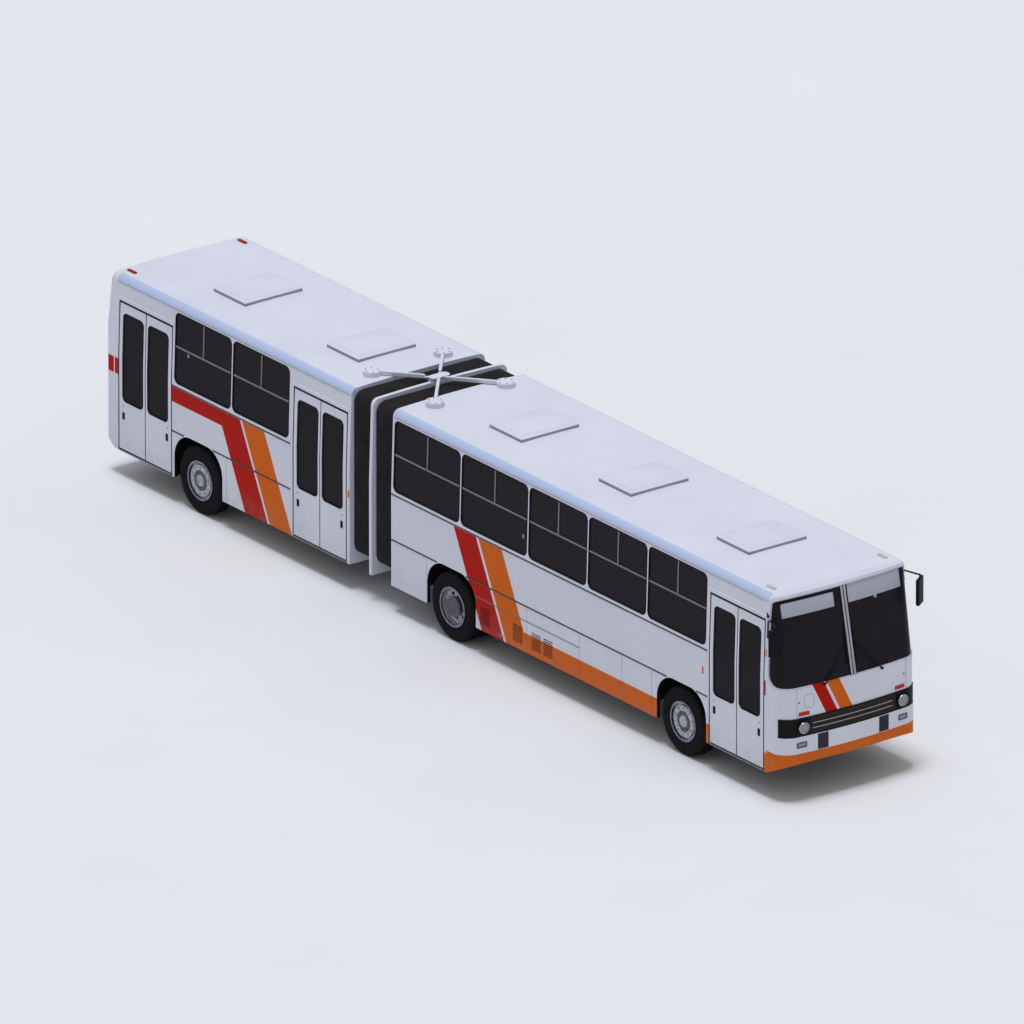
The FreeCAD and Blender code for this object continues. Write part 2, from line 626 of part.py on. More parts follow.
def front_chassis():
    """Ladder frame of the front section, with the turntable's lower half and pin, and the towing eye."""
    tongue = PIVOT + TONGUE
    frame = rails(PIVOT, NOSE_START - 150)
    wide = HALF - WALL
    pitch = (WHEELBASE_FRONT - 2 * CROSS_CLEAR) / 3
    full = [FRONT_END + CROSS_END] + [DRIVE_AXLE + CROSS_CLEAR + i * pitch for i in range(4)]
    narrow = [FRONT_AXLE, DRIVE_AXLE, FRONT_AXLE + CROSS_CLEAR, NOSE_START - 330]
    frame += cross_members(full, wide) + cross_members(narrow, RAIL_Y + RAIL_WIDE / 2)
    table = rod(TABLE_R, V(PIVOT, 0, RAIL_LOW), V(PIVOT, 0, RAIL_LOW + TABLE_THICK))
    pin = rod(TABLE_PIN_R, V(PIVOT, 0, RAIL_LOW), V(PIVOT, 0, RAIL_HIGH))
    over = box(PIVOT - TABLE_R - 50, tongue, -wide, wide, RAIL_LOW + TABLE_THICK, RAIL_HIGH + 1)
    frame = [rail.cut(over) for rail in frame[:2]] + frame[2:]
    eye_x = NOSE_START - 150
    eye = box(eye_x + SEAT_GAP, eye_x + 260, -50, 50, RAIL_LOW - 150, RAIL_LOW - 120)
    eye = eye.cut(rod(20, V(eye_x + 210, 0, 0), V(eye_x + 210, 0, RAIL_LOW)))
    beam = box(eye_x - 120, eye_x, -RAIL_Y, RAIL_Y, RAIL_LOW - 150, RAIL_LOW + 60)
    return solids([fuse(frame + [table, pin, beam]), eye])


def trailer_chassis():
    """Ladder frame of the trailer section, with the upper half of the turntable."""
    low = RAIL_LOW + TABLE_THICK + SEAT_GAP
    high = low + TABLE_THICK
    wide = RAIL_Y + RAIL_WIDE
    frame = [cut(rail, [box(PIVOT - TONGUE, PIVOT + 1, -wide, wide, RAIL_LOW - 1, low),
                        box(PIVOT - TONGUE, PIVOT + 1, -wide, wide, high, RAIL_HIGH + 1)])
             for rail in rails(TAIL_START + 250, PIVOT)]
    frame += cross_members([MIDDLE_DOOR - CROSS_DOOR, REAR_AXLE + CROSS_CLEAR], HALF - WALL)
    frame += cross_members([TRAILER_END - CROSS_TONGUE, REAR_AXLE, REAR_AXLE - CROSS_TAIL],
                           RAIL_Y + RAIL_WIDE / 2)
    pad_x = REAR_AXLE - JACK_BEHIND
    frame += [box(pad_x - 60, pad_x + 60, y - 35, y + 35, RAIL_LOW - JACK_PAD, RAIL_LOW + 1)
              for y in (-RAIL_Y, RAIL_Y)]
    table = rod(TABLE_R, V(PIVOT, 0, low), V(PIVOT, 0, high))
    bore = rod(TABLE_PIN_R + RUNNING, V(PIVOT, 0, 0), V(PIVOT, 0, RAIL_HIGH + 50))
    return fuse(frame + [table]).cut(bore)


def engine():
    """The flat engine under the floor between the rails, as one block."""
    half = RAIL_Y - RAIL_WIDE / 2
    return box(ENGINE_START, ENGINE_START + ENGINE_LONG, -half, half, ENGINE_LOW, RAIL_HIGH - 20)


def springs(axle, low):
    """Two air springs between an axle and the rails."""
    return [rod(120, V(axle, sign * RAIL_Y, low), V(axle, sign * RAIL_Y, RAIL_LOW)) for sign in (-1, 1)]


def steered_axle(axle):
    """Dropped beam with a bored boss at each end for the kingpin."""
    beam = box(axle - 45, axle + 45, -KINGPIN_Y + 180, KINGPIN_Y - 180, AXLE_Z - 125, AXLE_Z - 25)
    ends, bosses, bores = [], [], []
    for sign in (-1, 1):
        y = sign * KINGPIN_Y
        ends.append(prism("yz", axle - 45, axle + 45, [
            (y - sign * along, AXLE_Z + rise)
            for along, rise in ((20, -45), (20, 45), (65, 45), (180, -25), (180, -125), (65, -45))]))
        bosses.append(rod(50, V(axle, y, AXLE_Z - 55), V(axle, y, AXLE_Z + 55)))
        bores.append(rod(KINGPIN_R + RUNNING, V(axle, y, 0), V(axle, y, 2 * AXLE_Z)))
    return cut(fuse([beam] + ends + bosses + springs(axle, AXLE_Z - 26)), bores)


def knuckle(axle, sign):
    """Steering knuckle: two ears on the kingpin, a back plate, the wheel's spindle and the steering arm."""
    y = sign * KINGPIN_Y
    ears = []
    for low in (AXLE_Z - 100, AXLE_Z + 56):
        ears.append(rod(50, V(axle, y, low), V(axle, y, low + 44)))
        ears.append(box(axle - 45, axle + 45, y, y + sign * 90, low, low + 44))
    pin = rod(KINGPIN_R, V(axle, y, AXLE_Z - 100), V(axle, y, AXLE_Z + 100))
    plate = box(axle - 45, axle + 45, y + sign * 58, y + sign * 90, AXLE_Z - 100, AXLE_Z + 100)
    spindle = rod(38, V(axle, y + sign * 80, AXLE_Z), V(axle, sign * (STEER_FACE - 40), AXLE_Z))
    arm = box(axle - 200, axle, y - sign * 10, y + sign * 25, AXLE_Z - 100, AXLE_Z - 75)
    return fuse(ears + [pin, plate, spindle, arm])


def drive_axle():
    """Banjo housing with its spindles, springs and the propeller shaft."""
    centre = V(DRIVE_AXLE, 0, AXLE_Z)
    tube = DRIVE_FACE - TYRE_WIDE - TWIN_PITCH - 22
    housing = [rod(75, centre - V(0, tube, 0), centre + V(0, tube, 0)),
               Part.makeSphere(210, centre),
               rod(60, centre - V(0, DRIVE_FACE - 160, 0), centre + V(0, DRIVE_FACE - 160, 0))]
    shaft = rod(50, centre, V(ENGINE_START - SEAT_GAP, 0, AXLE_Z + 30))
    trim = box(ENGINE_START - SEAT_GAP, ENGINE_START + 200, -200, 200, ENGINE_LOW - 80, RAIL_HIGH)
    return fuse(housing + [shaft.cut(trim)] + springs(DRIVE_AXLE, AXLE_Z + 40))


# ---------------------------------------------------------------- wheels
def tyre(axle, face, sign):
    """A tyre with its outer face at a distance from the bus's middle."""
    y0, y1 = face - TYRE_WIDE, face
    s, lip = TYRE_SHOULDER, FLANGE_THICK + 3
    outline = [(y0 + lip, BEAD_R + SEAT_GAP), (y1 - lip, BEAD_R + SEAT_GAP), (y1 - lip, FLANGE_R + 4),
               (y1, FLANGE_R + 60), (y1, TYRE_R - 1.6 * s), (y1 - 0.4 * s, TYRE_R - 0.5 * s),
               (y1 - s, TYRE_R - 0.12 * s), (y1 - 1.7 * s, TYRE_R)]
    outline += [(y0 + y1 - along, radius) for along, radius in reversed(outline[2:])]
    return turned(V(axle, 0, AXLE_Z), [(sign * along, radius) for along, radius in outline])


def barrel(y0, y1):
    """Outline rows of one rim barrel with both flanges, from outside in."""
    thick, lip = 10, FLANGE_THICK
    return [(y1, BEAD_R - thick - 6), (y1, FLANGE_R), (y1 - lip, FLANGE_R), (y1 - lip, BEAD_R),
            (y0 + lip, BEAD_R), (y0 + lip, FLANGE_R), (y0, FLANGE_R), (y0, BEAD_R - thick - 6),
            (y0 + 30, BEAD_R - thick - 6), (y1 - 30, BEAD_R - thick - 6)]


def hand_holes(axle, y0, y1, ring_r, hole_r, count):
    return [rod(hole_r, V(axle + ring_r * math.sin(a), y0, AXLE_Z + ring_r * math.cos(a)),
                V(axle + ring_r * math.sin(a), y1, AXLE_Z + ring_r * math.cos(a)))
            for a in (2 * math.pi * i / count for i in range(count))]


def steered_rim(axle, sign):
    """Rim, flat disc and hub of a steered wheel, bored for its spindle."""
    face = STEER_FACE
    inner = BEAD_R - 12
    rings = [barrel(face - TYRE_WIDE, face),
             [(face - 62, 105), (face - 44, 105), (face - 30, inner), (face - 48, inner)],
             [(face - 235, 38 + RUNNING), (face - 40 + 5, 38 + RUNNING), (face - 35, 0.0), (face - 4, 0.0),
              (face - 4, 62), (face - 26, 112), (face - 90, 112), (face - 90, 95), (face - 235, 95)]]
    body = fuse([turned(V(axle, 0, AXLE_Z), [(sign * a, r) for a, r in ring]) for ring in rings])
    return cut(body, hand_holes(axle, sign * (face - 80), sign * (face - 10), 205, 28, 10))


def drive_rim(sign):
    """Both rims of a twin wheel, their dished discs and the hub, bored for the spindle."""
    face, pitch = DRIVE_FACE, TWIN_PITCH
    inner = BEAD_R - 12
    mid = face - TYRE_WIDE / 2 - pitch / 2
    rings = [barrel(face - TYRE_WIDE, face), barrel(face - TYRE_WIDE - pitch, face - pitch),
             [(mid + 4, 120), (mid + 22, 120), (mid + 50, inner), (mid + 28, inner)],
             [(mid - 14, 120), (mid + 4, 120), (mid - 28, inner), (mid - 50, inner)],
             [(mid - 90, 60 + RUNNING), (face - 155, 60 + RUNNING), (face - 150, 0.0), (face - 112, 0.0),
              (face - 112, 80), (face - 132, 108), (mid + 22, 122), (mid - 14, 122), (mid - 90, 115)]]
    body = fuse([turned(V(DRIVE_AXLE, 0, AXLE_Z), [(sign * a, r) for a, r in ring]) for ring in rings])
    return cut(body, hand_holes(DRIVE_AXLE, sign * (mid - 80), sign * (mid + 90), 205, 38, 8))


# ---------------------------------------------------------------- joint between the sections
def hoop():
    """The middle hoop with the block of the roof linkage, the floor disc and the bearing under it."""
    x0, x1 = PIVOT - HOOP_LONG / 2, PIVOT + HOOP_LONG / 2
    block = rounded("xy", ROOF_TOP - 25, LINK_TOP, PIVOT - 75, PIVOT + 75, -170, 170, 60)
    slot_low = link_low(0) - LINK_CLEAR
    block = block.cut(box(PIVOT - 90, PIVOT + 90, -300, 300, slot_low, LINK_TOP - LINK_PLATE))
    neck = rod(26, V(PIVOT, 0, ROOF_TOP), V(PIVOT, 0, LINK_TOP))
    disc = rod(DISC_R, V(PIVOT, 0, FLOOR_Z - 12), V(PIVOT, 0, FLOOR_Z))
    bar = box(x0, x1, -PORTAL_SIDE - 10, PORTAL_SIDE + 10, RAIL_HIGH - 50, FLOOR_Z - 12)
    hub_low = RAIL_LOW + 2 * (TABLE_THICK + SEAT_GAP)
    hub = rod(TABLE_PIN_R + 50, V(PIVOT, 0, hub_low), V(PIVOT, 0, FLOOR_Z - 12))
    bore = rod(TABLE_PIN_R + RUNNING, V(PIVOT, 0, 0), V(PIVOT, 0, RAIL_HIGH + 6))
    return fuse([portal(x0, x1), block, neck, disc, bar, hub]).cut(bore)


def link_low(level):
    """Underside of the link eyes of one level in the hoop's block."""
    return LINK_TOP - LINK_PLATE - (2 - level) * (LINK_HIGH + LINK_CLEAR)


def linkage(direction, level):
    """The pair of roof links of one section, from their round feet to the eye on the hoop's block."""
    low = link_low(level)
    top = LINK_TOP - LINK_PLATE
    pieces = [rod(48, V(PIVOT, 0, low), V(PIVOT, 0, low + LINK_HIGH))]
    for sign in (-1, 1):
        foot = V(PIVOT + direction * FOOT_X, sign * FOOT_Y, 0)
        along = (foot - V(PIVOT, 0, 0)).normalize()
        across = V(-along.y, along.x, 0) * (LINK_WIDE / 2)
        for start, z0, z1 in ((0, low, low + LINK_HIGH), (LINK_EYE, link_low(0), top)):
            near = V(PIVOT, 0, 0) + along * start
            ends = [near - across, near + across, foot + across, foot - across]
            pieces.append(prism("xy", z0, z1, [(p.x, p.y) for p in ends]))
        disc = rod(FOOT_R, foot + V(0, 0, ROOF_TOP - 60), foot + V(0, 0, LINK_TOP - 6))
        pieces.append(disc.cut(section(0, foot.x - FOOT_R - 1, foot.x + FOOT_R + 1)))
    bore = rod(26 + RUNNING, V(PIVOT, 0, ROOF_TOP), V(PIVOT, 0, LINK_TOP + 10))
    return fuse(pieces).cut(bore)


def bellows_ring(x, depth):
    """One closed outline of the bellows, with round corners, at a place along the bus."""
    side_y = HALF - BELLOWS_IN - depth
    low = BELLOWS_LOW + depth
    high = ROOF_TOP - ROOF_FALL - 35 - depth
    r = BELLOWS_ROUND - depth * 0.5
    k = r * (1 - math.sqrt(0.5))
    rows = [(side_y - r, low), (side_y, low + r, side_y - k, low + k), (side_y, high - r),
            (side_y - r, high, side_y - k, high - k), (-side_y + r, high),
            (-side_y, high - r, -side_y + k, high - k), (-side_y, low + r),
            (-side_y + r, low, -side_y + k, low + k)]
    edges, last = [], V(x, *rows[-1][:2])
    for row in rows:
        here = V(x, *row[:2])
        shape = Part.Arc(last, V(x, *row[2:]), here) if len(row) == 4 else Part.LineSegment(last, here)
        edges.append(shape.toShape())
        last = here
    return Part.Wire(edges)


def bellows(x0, x1):
    """A folded tube: ridges and valleys by turns."""
    step = (x1 - x0) / (2 * BELLOWS_FOLDS)
    depth = [BELLOWS_FOLD if i % 2 == 0 else 0 for i in range(2 * BELLOWS_FOLDS + 1)]
    outer = Part.makeLoft([bellows_ring(x0 + i * step, d) for i, d in enumerate(depth)], True, True)
    inner = Part.makeLoft([bellows_ring(x0 + i * step, d + BELLOWS_SKIN) for i, d in enumerate(depth)], True,
                          True)
    return outer.cut(inner)


# ---------------------------------------------------------------- doors
def leaf(jamb, toward):
    """A door leaf that follows the body side, with its glass and the two pivot lugs."""
    start = jamb + toward * LEAF_GAP
    x0, x1 = sorted((start, start + toward * LEAF_WIDE))
    slab = side_skin(0, LEAF_THICK, x0, x1, True).common(box(x0, x1, -HALF, 0, LEAF_LOW, LEAF_HIGH))
    g0, g1 = sorted((start + toward * LEAF_GLASS_JAMB, start + toward * (LEAF_WIDE - LEAF_GLASS_LEAD)))
    hole = rounded("xz", -HALF - 5, -HALF + 120, g0, g1, LEAF_GLASS_LOW, LEAF_GLASS_HIGH,
                   LEAF_GLASS_ROUND)
    pane_hole = rounded("xz", -HALF - 5, -HALF + 120, g0 + SEAT_GAP, g1 - SEAT_GAP,
                        LEAF_GLASS_LOW + SEAT_GAP, LEAF_GLASS_HIGH - SEAT_GAP, LEAF_GLASS_ROUND - SEAT_GAP)
    pane = side_skin(GLASS_DEPTH, GLASS_DEPTH + GLASS_THICK, x0, x1, True).common(pane_hole)
    pivot = post_x(jamb, toward) + toward * ARM_REACH
    half, back = LUG_WIDE / 2, -POST_Y + 16
    lugs = [box(pivot - half, pivot + half, -HALF + LEAF_THICK - 5, back, LEAF_LOW, LEAF_LOW + LUG_HIGH),
            box(pivot - half, pivot + half, -HALF + LEAF_THICK + 20, back, LEAF_HIGH - LUG_HIGH, LEAF_HIGH)]
    bores = [rod(PIVOT_R + RUNNING, V(pivot, -POST_Y, z), V(pivot, -POST_Y, z + LUG_HIGH - 10))
             for z in (LEAF_LOW, LEAF_HIGH - LUG_HIGH + 10)]
    return solids([cut(fuse([slab.cut(hole)] + lugs), bores), pane])


def post_x(jamb, toward):
    """Where the stub shafts of the leaf at one jamb stand, along the bus."""
    return jamb + toward * (LEAF_GAP + POST_IN)


def door_arm(jamb, toward):
    """A leaf's two arms, one under and one over it, each with its stub shaft and its pivot pin."""
    x = post_x(jamb, toward)
    pivot = x + toward * ARM_REACH
    low = PAN_TOP + ARM_CLEAR
    high = DOOR_TOP - ARM_CLEAR - ARM_THICK
    made = []
    # Rows are the arm's underside, the stub's far end and the pin's far end.
    for z, stub, pin in ((low, PAN_TOP - STUB_DEEP, LEAF_LOW + LUG_HIGH - 15),
                         (high, DOOR_TOP + STUB_DEEP, LEAF_HIGH - LUG_HIGH + 15)):
        middle = z + ARM_THICK / 2
        made.append(fuse([
            box(x, pivot, -POST_Y - ARM_WIDE / 2, -POST_Y + ARM_WIDE / 2, z, z + ARM_THICK),
            rod(POST_R, V(x, -POST_Y, z), V(x, -POST_Y, z + ARM_THICK)),
            rod(POST_R, V(x, -POST_Y, middle), V(x, -POST_Y, stub)),
            rod(ARM_WIDE / 2, V(pivot, -POST_Y, z), V(pivot, -POST_Y, z + ARM_THICK)),
            rod(PIVOT_R, V(pivot, -POST_Y, middle), V(pivot, -POST_Y, pin))]))
    return solids(made)


# ---------------------------------------------------------------- fittings
def hatches(places):
    """Low roof lids, each seated on the roof's curve."""
    lids = []
    for x in places:
        lid = box(x - HATCH_LONG / 2, x + HATCH_LONG / 2, -HATCH_WIDE / 2, HATCH_WIDE / 2, ROOF_TOP - 40,
                  ROOF_TOP + HATCH_HIGH - 5)
        lids.append(lid.cut(section(0, x - HATCH_LONG, x + HATCH_LONG)))
    return solids(lids)


def mirrors():
    """Two mirror heads on bent arms from the nose's corners, both turned towards the driver's seat."""
    mask = nose_solid(0)
    made = []
    for sign, top, out in ((-1, MIRROR_TOP_RIGHT, MIRROR_OUT_RIGHT), (1, MIRROR_TOP_LEFT, MIRROR_OUT_LEFT)):
        root = V(NOSE_START + 6, sign * (HALF - 40), top + 25)
        knee = V(NOSE_X - 105, sign * (HALF + out), top + 45)
        head = rounded("xy", top - MIRROR_HIGH, top, knee.x - 24, knee.x + 24, knee.y - MIRROR_WIDE / 2,
                       knee.y + MIRROR_WIDE / 2, 22)
        head = head.rotate(knee, V(0, 0, 1), sign * MIRROR_TOE)
        arm = rod(MIRROR_ARM_R, root, knee).cut(mask)
        stem = rod(MIRROR_ARM_R, knee, knee - V(0, 0, 80))
        head = fuse([Part.makeSphere(MIRROR_ARM_R + 3, knee), stem, head])
        made.append(fuse([head, arm]))
    return solids(made)


def wipers():
    """Two wipers parked against the windscreen, each a pivot, an arm and a blade."""
    lean = screen_lean()
    made = []
    for sign in (-1, 1):
        foot = V(NOSE_PANEL - 26, sign * 520, SCREEN_LOW - 30)
        low = V(NOSE_PANEL + 20 - lean * 150, sign * 80, SCREEN_LOW + 150)
        high = V(NOSE_PANEL + 20 - lean * 760, sign * 75, SCREEN_LOW + 760)
        pivot = rod(18, foot, foot + V(44, 0, 0))
        arm = rod(8, foot + V(30, 0, 0), (low + high) * 0.5)
        made.append(fuse([pivot, arm, rod(11, low, high)]).cut(nose_solid(-SEAT_GAP)))
    return solids(made)


def seat(x, y, wide, facing=1):
    """A bench on a pedestal, with its cushion and back. x is the seat's front edge."""
    back_x = x - facing * SEAT_LONG
    leg = wide / 2 - 60
    pedestal = box(x - facing * 60, back_x + facing * 60, y - leg, y + leg, FLOOR_Z, SEAT_Z - 80)
    cushion = box(x, back_x, y - wide / 2, y + wide / 2, SEAT_Z - 80, SEAT_Z)
    back = prism("xz", y - wide / 2, y + wide / 2, [
        (back_x, SEAT_Z - 80), (back_x + facing * 60, SEAT_Z - 80), (back_x - facing * 20, SEAT_Z + 520),
        (back_x - facing * 70, SEAT_Z + 520)])
    return fuse([pedestal, cushion, back])


def seat_row(places, sides):
    y = HALF - WALL - 20 - SEAT_WIDE / 2
    return [seat(x, side * y, SEAT_WIDE) for x in places for side in sides]


def front_seats():
    """Benches of the front section and the driver's seat."""
    first = DRIVE_AXLE + 1150
    count = int((FRONT_AXLE - HOUSE_FRONT[0] - first) / SEAT_PITCH)
    rows = seat_row([first + i * SEAT_PITCH for i in range(count)], (-1, 1))
    rows += seat_row([DRIVE_AXLE - 700], (-1, 1))
    rows.append(seat(FRONT_DOOR + 820, DRIVER_Y, 480))
    return solids(rows)


def trailer_seats():
    rows = seat_row([REAR_AXLE + 1120, REAR_AXLE + 1120 + SEAT_PITCH], (-1, 1))
    rows += seat_row([MIDDLE_DOOR + 640], (1,))
    rows += seat_row([REAR_DOOR + 760], (1,))
    return solids(rows)


def dashboard():
    """The driver's desk with the steering column and wheel."""
    desk = prism("xz", DRIVER_Y - 460, HALF - DESK_IN, [
        (NOSE_X - 560, FLOOR_Z), (NOSE_X - 260, FLOOR_Z), (NOSE_X - 230, 1640), (NOSE_X - 420, 1700),
        (NOSE_X - 560, 1560)])
    foot = V(NOSE_X - 520, DRIVER_Y, 1300)
    hub = V(NOSE_X - 740, DRIVER_Y, 1690)
    axis = (hub - foot).normalize()
    column = rod(38, foot, hub)
    wheel = Part.makeTorus(240, 16, hub, axis)
    spokes = [rod(14, hub, hub + V(0, 240 * math.sin(a), 0) + V(axis.z, 0, -axis.x) * (240 * math.cos(a)))
              for a in (0, 2 * math.pi / 3, 4 * math.pi / 3)]
    return fuse([desk, column, wheel, rod(55, hub - axis * 20, hub + axis * 20)] + spokes)


# ---------------------------------------------------------------- the whole bus
def build():
    front_lids = [FRONT_AXLE + HATCH_AHEAD, DRIVE_AXLE + HATCH_MIDDLE, DRIVE_AXLE + HATCH_DRIVE]
    front_axles = (FRONT_AXLE, DRIVE_AXLE)
    nodes = {
        "front_side_right": side(SECTION_FRONT, True, front_windows(True), front_axles, [FRONT_DOOR]),
        "front_side_left": side(SECTION_FRONT, False, front_windows(False), front_axles, []),
        "front_roof": roof(FRONT_END + PORTAL_LONG, NOSE_START, (FRONT_END, FRONT_END + PORTAL_LONG)),
        "front_floor": floor(*SECTION_FRONT, [FRONT_DOOR], zip(front_axles, (HOUSE_FRONT, HOUSE_DRIVE))),
        "front_nose": nose(),
        "front_bumper": bumper(),
        "front_grille": grille(),
        "front_glass": solids([window_unit(row, right) for right in (True, False)
                               for row in front_windows(right)] + [windscreen()]),
        "front_chassis": front_chassis(),
        "front_axle": steered_axle(FRONT_AXLE),
        "drive_axle": drive_axle(),
        "engine": engine(),
        "mirrors": mirrors(),
        "wipers": wipers(),
        "front_seats": front_seats(),
        "dashboard": dashboard(),
        "front_linkage": linkage(1, 1),
        "front_hatches": hatches(front_lids),
        "middle_hoop": hoop(),
        "front_bellows": bellows(PIVOT + HOOP_LONG / 2 + SEAT_GAP, FRONT_END - SEAT_GAP),
        "rear_bellows": bellows(TRAILER_END + SEAT_GAP, PIVOT - HOOP_LONG / 2 - SEAT_GAP),
        "trailer_side_right": side(SECTION_TRAILER, True, trailer_windows(True), (REAR_AXLE,),
                                   [MIDDLE_DOOR, REAR_DOOR]),
        "trailer_side_left": side(SECTION_TRAILER, False, trailer_windows(False), (REAR_AXLE,), []),
        "trailer_roof": roof(*SECTION_TRAILER, (TRAILER_END - PORTAL_LONG, TRAILER_END)),
        "trailer_floor": floor(*SECTION_TRAILER, [MIDDLE_DOOR, REAR_DOOR], [(REAR_AXLE, HOUSE_REAR)]),
        "trailer_tail": tail(),
        "trailer_glass": solids([window_unit(row, right) for right in (True, False)
                                 for row in trailer_windows(right)] + [tail_glass()]),
        "trailer_chassis": trailer_chassis(),
        "rear_axle": steered_axle(REAR_AXLE),
        "trailer_seats": trailer_seats(),
        "trailer_linkage": linkage(-1, 0),
        "trailer_hatches": hatches([TRAILER_END - HATCH_TRAILER, REAR_AXLE - HATCH_REAR]),
    }
    for name, sign in (("right", -1), ("left", 1)):
        nodes["front_knuckle_" + name] = knuckle(FRONT_AXLE, sign)
        nodes["rear_knuckle_" + name] = knuckle(REAR_AXLE, sign)
        for place_name, axle in (("front", FRONT_AXLE), ("rear", REAR_AXLE)):
            nodes[place_name + "_tyre_" + name] = tyre(axle, STEER_FACE, sign)
            nodes[place_name + "_rim_" + name] = steered_rim(axle, sign)
        nodes["drive_tyres_" + name] = solids([tyre(DRIVE_AXLE, DRIVE_FACE, sign),
                                               tyre(DRIVE_AXLE, DRIVE_FACE - TWIN_PITCH, sign)])
        nodes["drive_rims_" + name] = drive_rim(sign)
    for name, jamb in DOORS.items():
        for leaf_name, where, toward in (("a", jamb, 1), ("b", jamb + DOOR_WIDE, -1)):
            nodes[name + "_door_leaf_" + leaf_name] = leaf(where, toward)
            nodes[name + "_door_arm_" + leaf_name] = door_arm(where, toward)
    return nodes


os.makedirs("parts", exist_ok=True)
for node, shape in build().items():
    assert shape.isValid() and all(s.isClosed() for s in shape.Shells), node
    shape.exportStep("parts/" + node + ".step")
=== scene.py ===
import bpy
import bmesh
import math
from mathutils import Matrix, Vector, noise


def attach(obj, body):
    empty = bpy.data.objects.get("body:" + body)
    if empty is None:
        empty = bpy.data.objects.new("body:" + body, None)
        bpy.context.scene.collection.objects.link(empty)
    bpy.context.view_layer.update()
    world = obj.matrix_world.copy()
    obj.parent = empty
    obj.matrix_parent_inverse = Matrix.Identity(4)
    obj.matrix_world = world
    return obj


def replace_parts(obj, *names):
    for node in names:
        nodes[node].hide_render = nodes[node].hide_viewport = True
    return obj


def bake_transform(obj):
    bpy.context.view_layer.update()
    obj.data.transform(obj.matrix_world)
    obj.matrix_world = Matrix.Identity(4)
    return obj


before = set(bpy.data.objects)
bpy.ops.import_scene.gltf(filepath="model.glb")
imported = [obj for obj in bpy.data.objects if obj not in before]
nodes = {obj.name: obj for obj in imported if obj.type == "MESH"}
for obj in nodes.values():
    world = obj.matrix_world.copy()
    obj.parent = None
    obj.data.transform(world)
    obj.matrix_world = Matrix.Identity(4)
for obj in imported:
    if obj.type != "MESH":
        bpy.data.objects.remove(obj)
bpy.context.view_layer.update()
print("frame loaded:", len(nodes), "nodes")

# The body's own lines, in metres: +X forward, +Y left, +Z up.
body = {
    "half": 1.25, "belt": 1.85, "cantrail": 3.02, "tumble": 0.036, "frontEnd": -1.238, "trailerEnd": -2.252,
    "pivot": -1.745, "frontAxle": 5.77, "driveAxle": 0.226, "rearAxle": -5.957, "tyreRadius": 0.525,
    "steerFace": 1.225, "driveFace": 1.237, "noseFace": 8.176, "noseBow": 0.054, "noseCorner": 0.30,
    "screenLow": 1.76, "screenHigh": 3.11, "screenLean": 0.21333, "screenTighten": 0.186,
    "screenNarrow": 0.0388, "tail": -8.25, "tailBow": 0.015, "tailCorner": 0.09,
    # how far the tail's face leans in at each height
    "tailLean": ((0.40, 0.23), (0.55, 0.02), (0.90, -0.005), (1.75, -0.005), (2.40, 0.07),
                 (3.02, 0.13), (3.16, 0.16)),
}
doors = {"front": 6.442, "middle": -3.626, "rear": -7.910}   # rear jamb of each door
doorWide = 1.29
windowRows = {
    "front": [(-1.190, 0.408), (0.444, 2.042), (2.078, 3.4767), (3.5127, 4.9113), (4.9473, 6.346)],
    "trailer": [(-6.548, -5.165), (-5.129, -3.746)],
}
leftOnly = {"front": [(6.442, 7.732)], "trailer": [(-7.910, -6.620), (-3.626, -2.336)]}
sections = {"front": "front_section", "trailer": "trailer"}
sideWords = {-1: "Right", 1: "Left"}


def toLinear(hexValue):
    channels = [int(hexValue[i:i + 2], 16) / 255 for i in (1, 3, 5)]
    return [c / 12.92 if c <= 0.04045 else ((c + 0.055) / 1.055) ** 2.4 for c in channels] + [1.0]


def addNode(tree, kind, inputs=(), **settings):
    # Adds a node, gives it its settings and its values or links, and returns its outputs.
    node = tree.nodes.new("ShaderNode" + kind)
    for name, value in settings.items():
        setattr(node, name, value)
    for name, value in (inputs.items() if isinstance(inputs, dict) else enumerate(inputs)):
        if isinstance(value, bpy.types.NodeSocket):
            tree.links.new(value, node.inputs[name])
        else:
            node.inputs[name].default_value = value
    return node.outputs


def newFinish(name, **constants):
    # A material with one shader, whose own sockets hold what is the same all over it.
    material = bpy.data.materials.new(name)
    material.use_nodes = True
    tree = material.node_tree
    tree.nodes.clear()
    surface = addNode(tree, "BsdfPrincipled", {key.replace("_", " "): v for key, v in constants.items()})[0]
    addNode(tree, "OutputMaterial", {"Surface": surface})
    return material, tree, surface.node, addNode(tree, "TexCoord")["Object"]


def finishWith(tree, shader, colour, rough, height, depth):
    relief = addNode(tree, "Bump", {"Height": height, "Distance": depth})[0]
    for name, value in (("Base Color", colour), ("Roughness", rough), ("Normal", relief)):
        tree.links.new(value, shader.inputs[name])


def speckle(tree, place, size, low=0.0, high=1.0, detail=4.0):
    # Noise stretched over a range. The size is a speck's width in metres.
    raw = addNode(tree, "TexNoise", {"Vector": place, "Scale": 1 / size, "Detail": detail})[0]
    return addNode(tree, "MapRange", {"Value": raw, "From Min": 0.3, "From Max": 0.7, "To Min": low,
                                      "To Max": high})[0]


def inRange(tree, value, low, high):
    above = addNode(tree, "Math", (value, low), operation="GREATER_THAN")[0]
    below = addNode(tree, "Math", (value, high), operation="LESS_THAN")[0]
    return addNode(tree, "Math", (above, below), operation="MULTIPLY")[0]


def paintBands(tree, ground, axes, bands):
    # Each band is a colour, and a mask or the ranges it lies between.
    for hexValue, area in bands:
        mask = 1.0 if isinstance(area, dict) else area
        for axis, span in area.items() if isinstance(area, dict) else ():
            mask = addNode(tree, "Math", (mask, inRange(tree, axes[axis], *span)), operation="MULTIPLY")[0]
        ground = addNode(tree, "Mix", {0: mask, 6: ground, 7: toLinear(hexValue)}, data_type="RGBA")[2]
    return ground


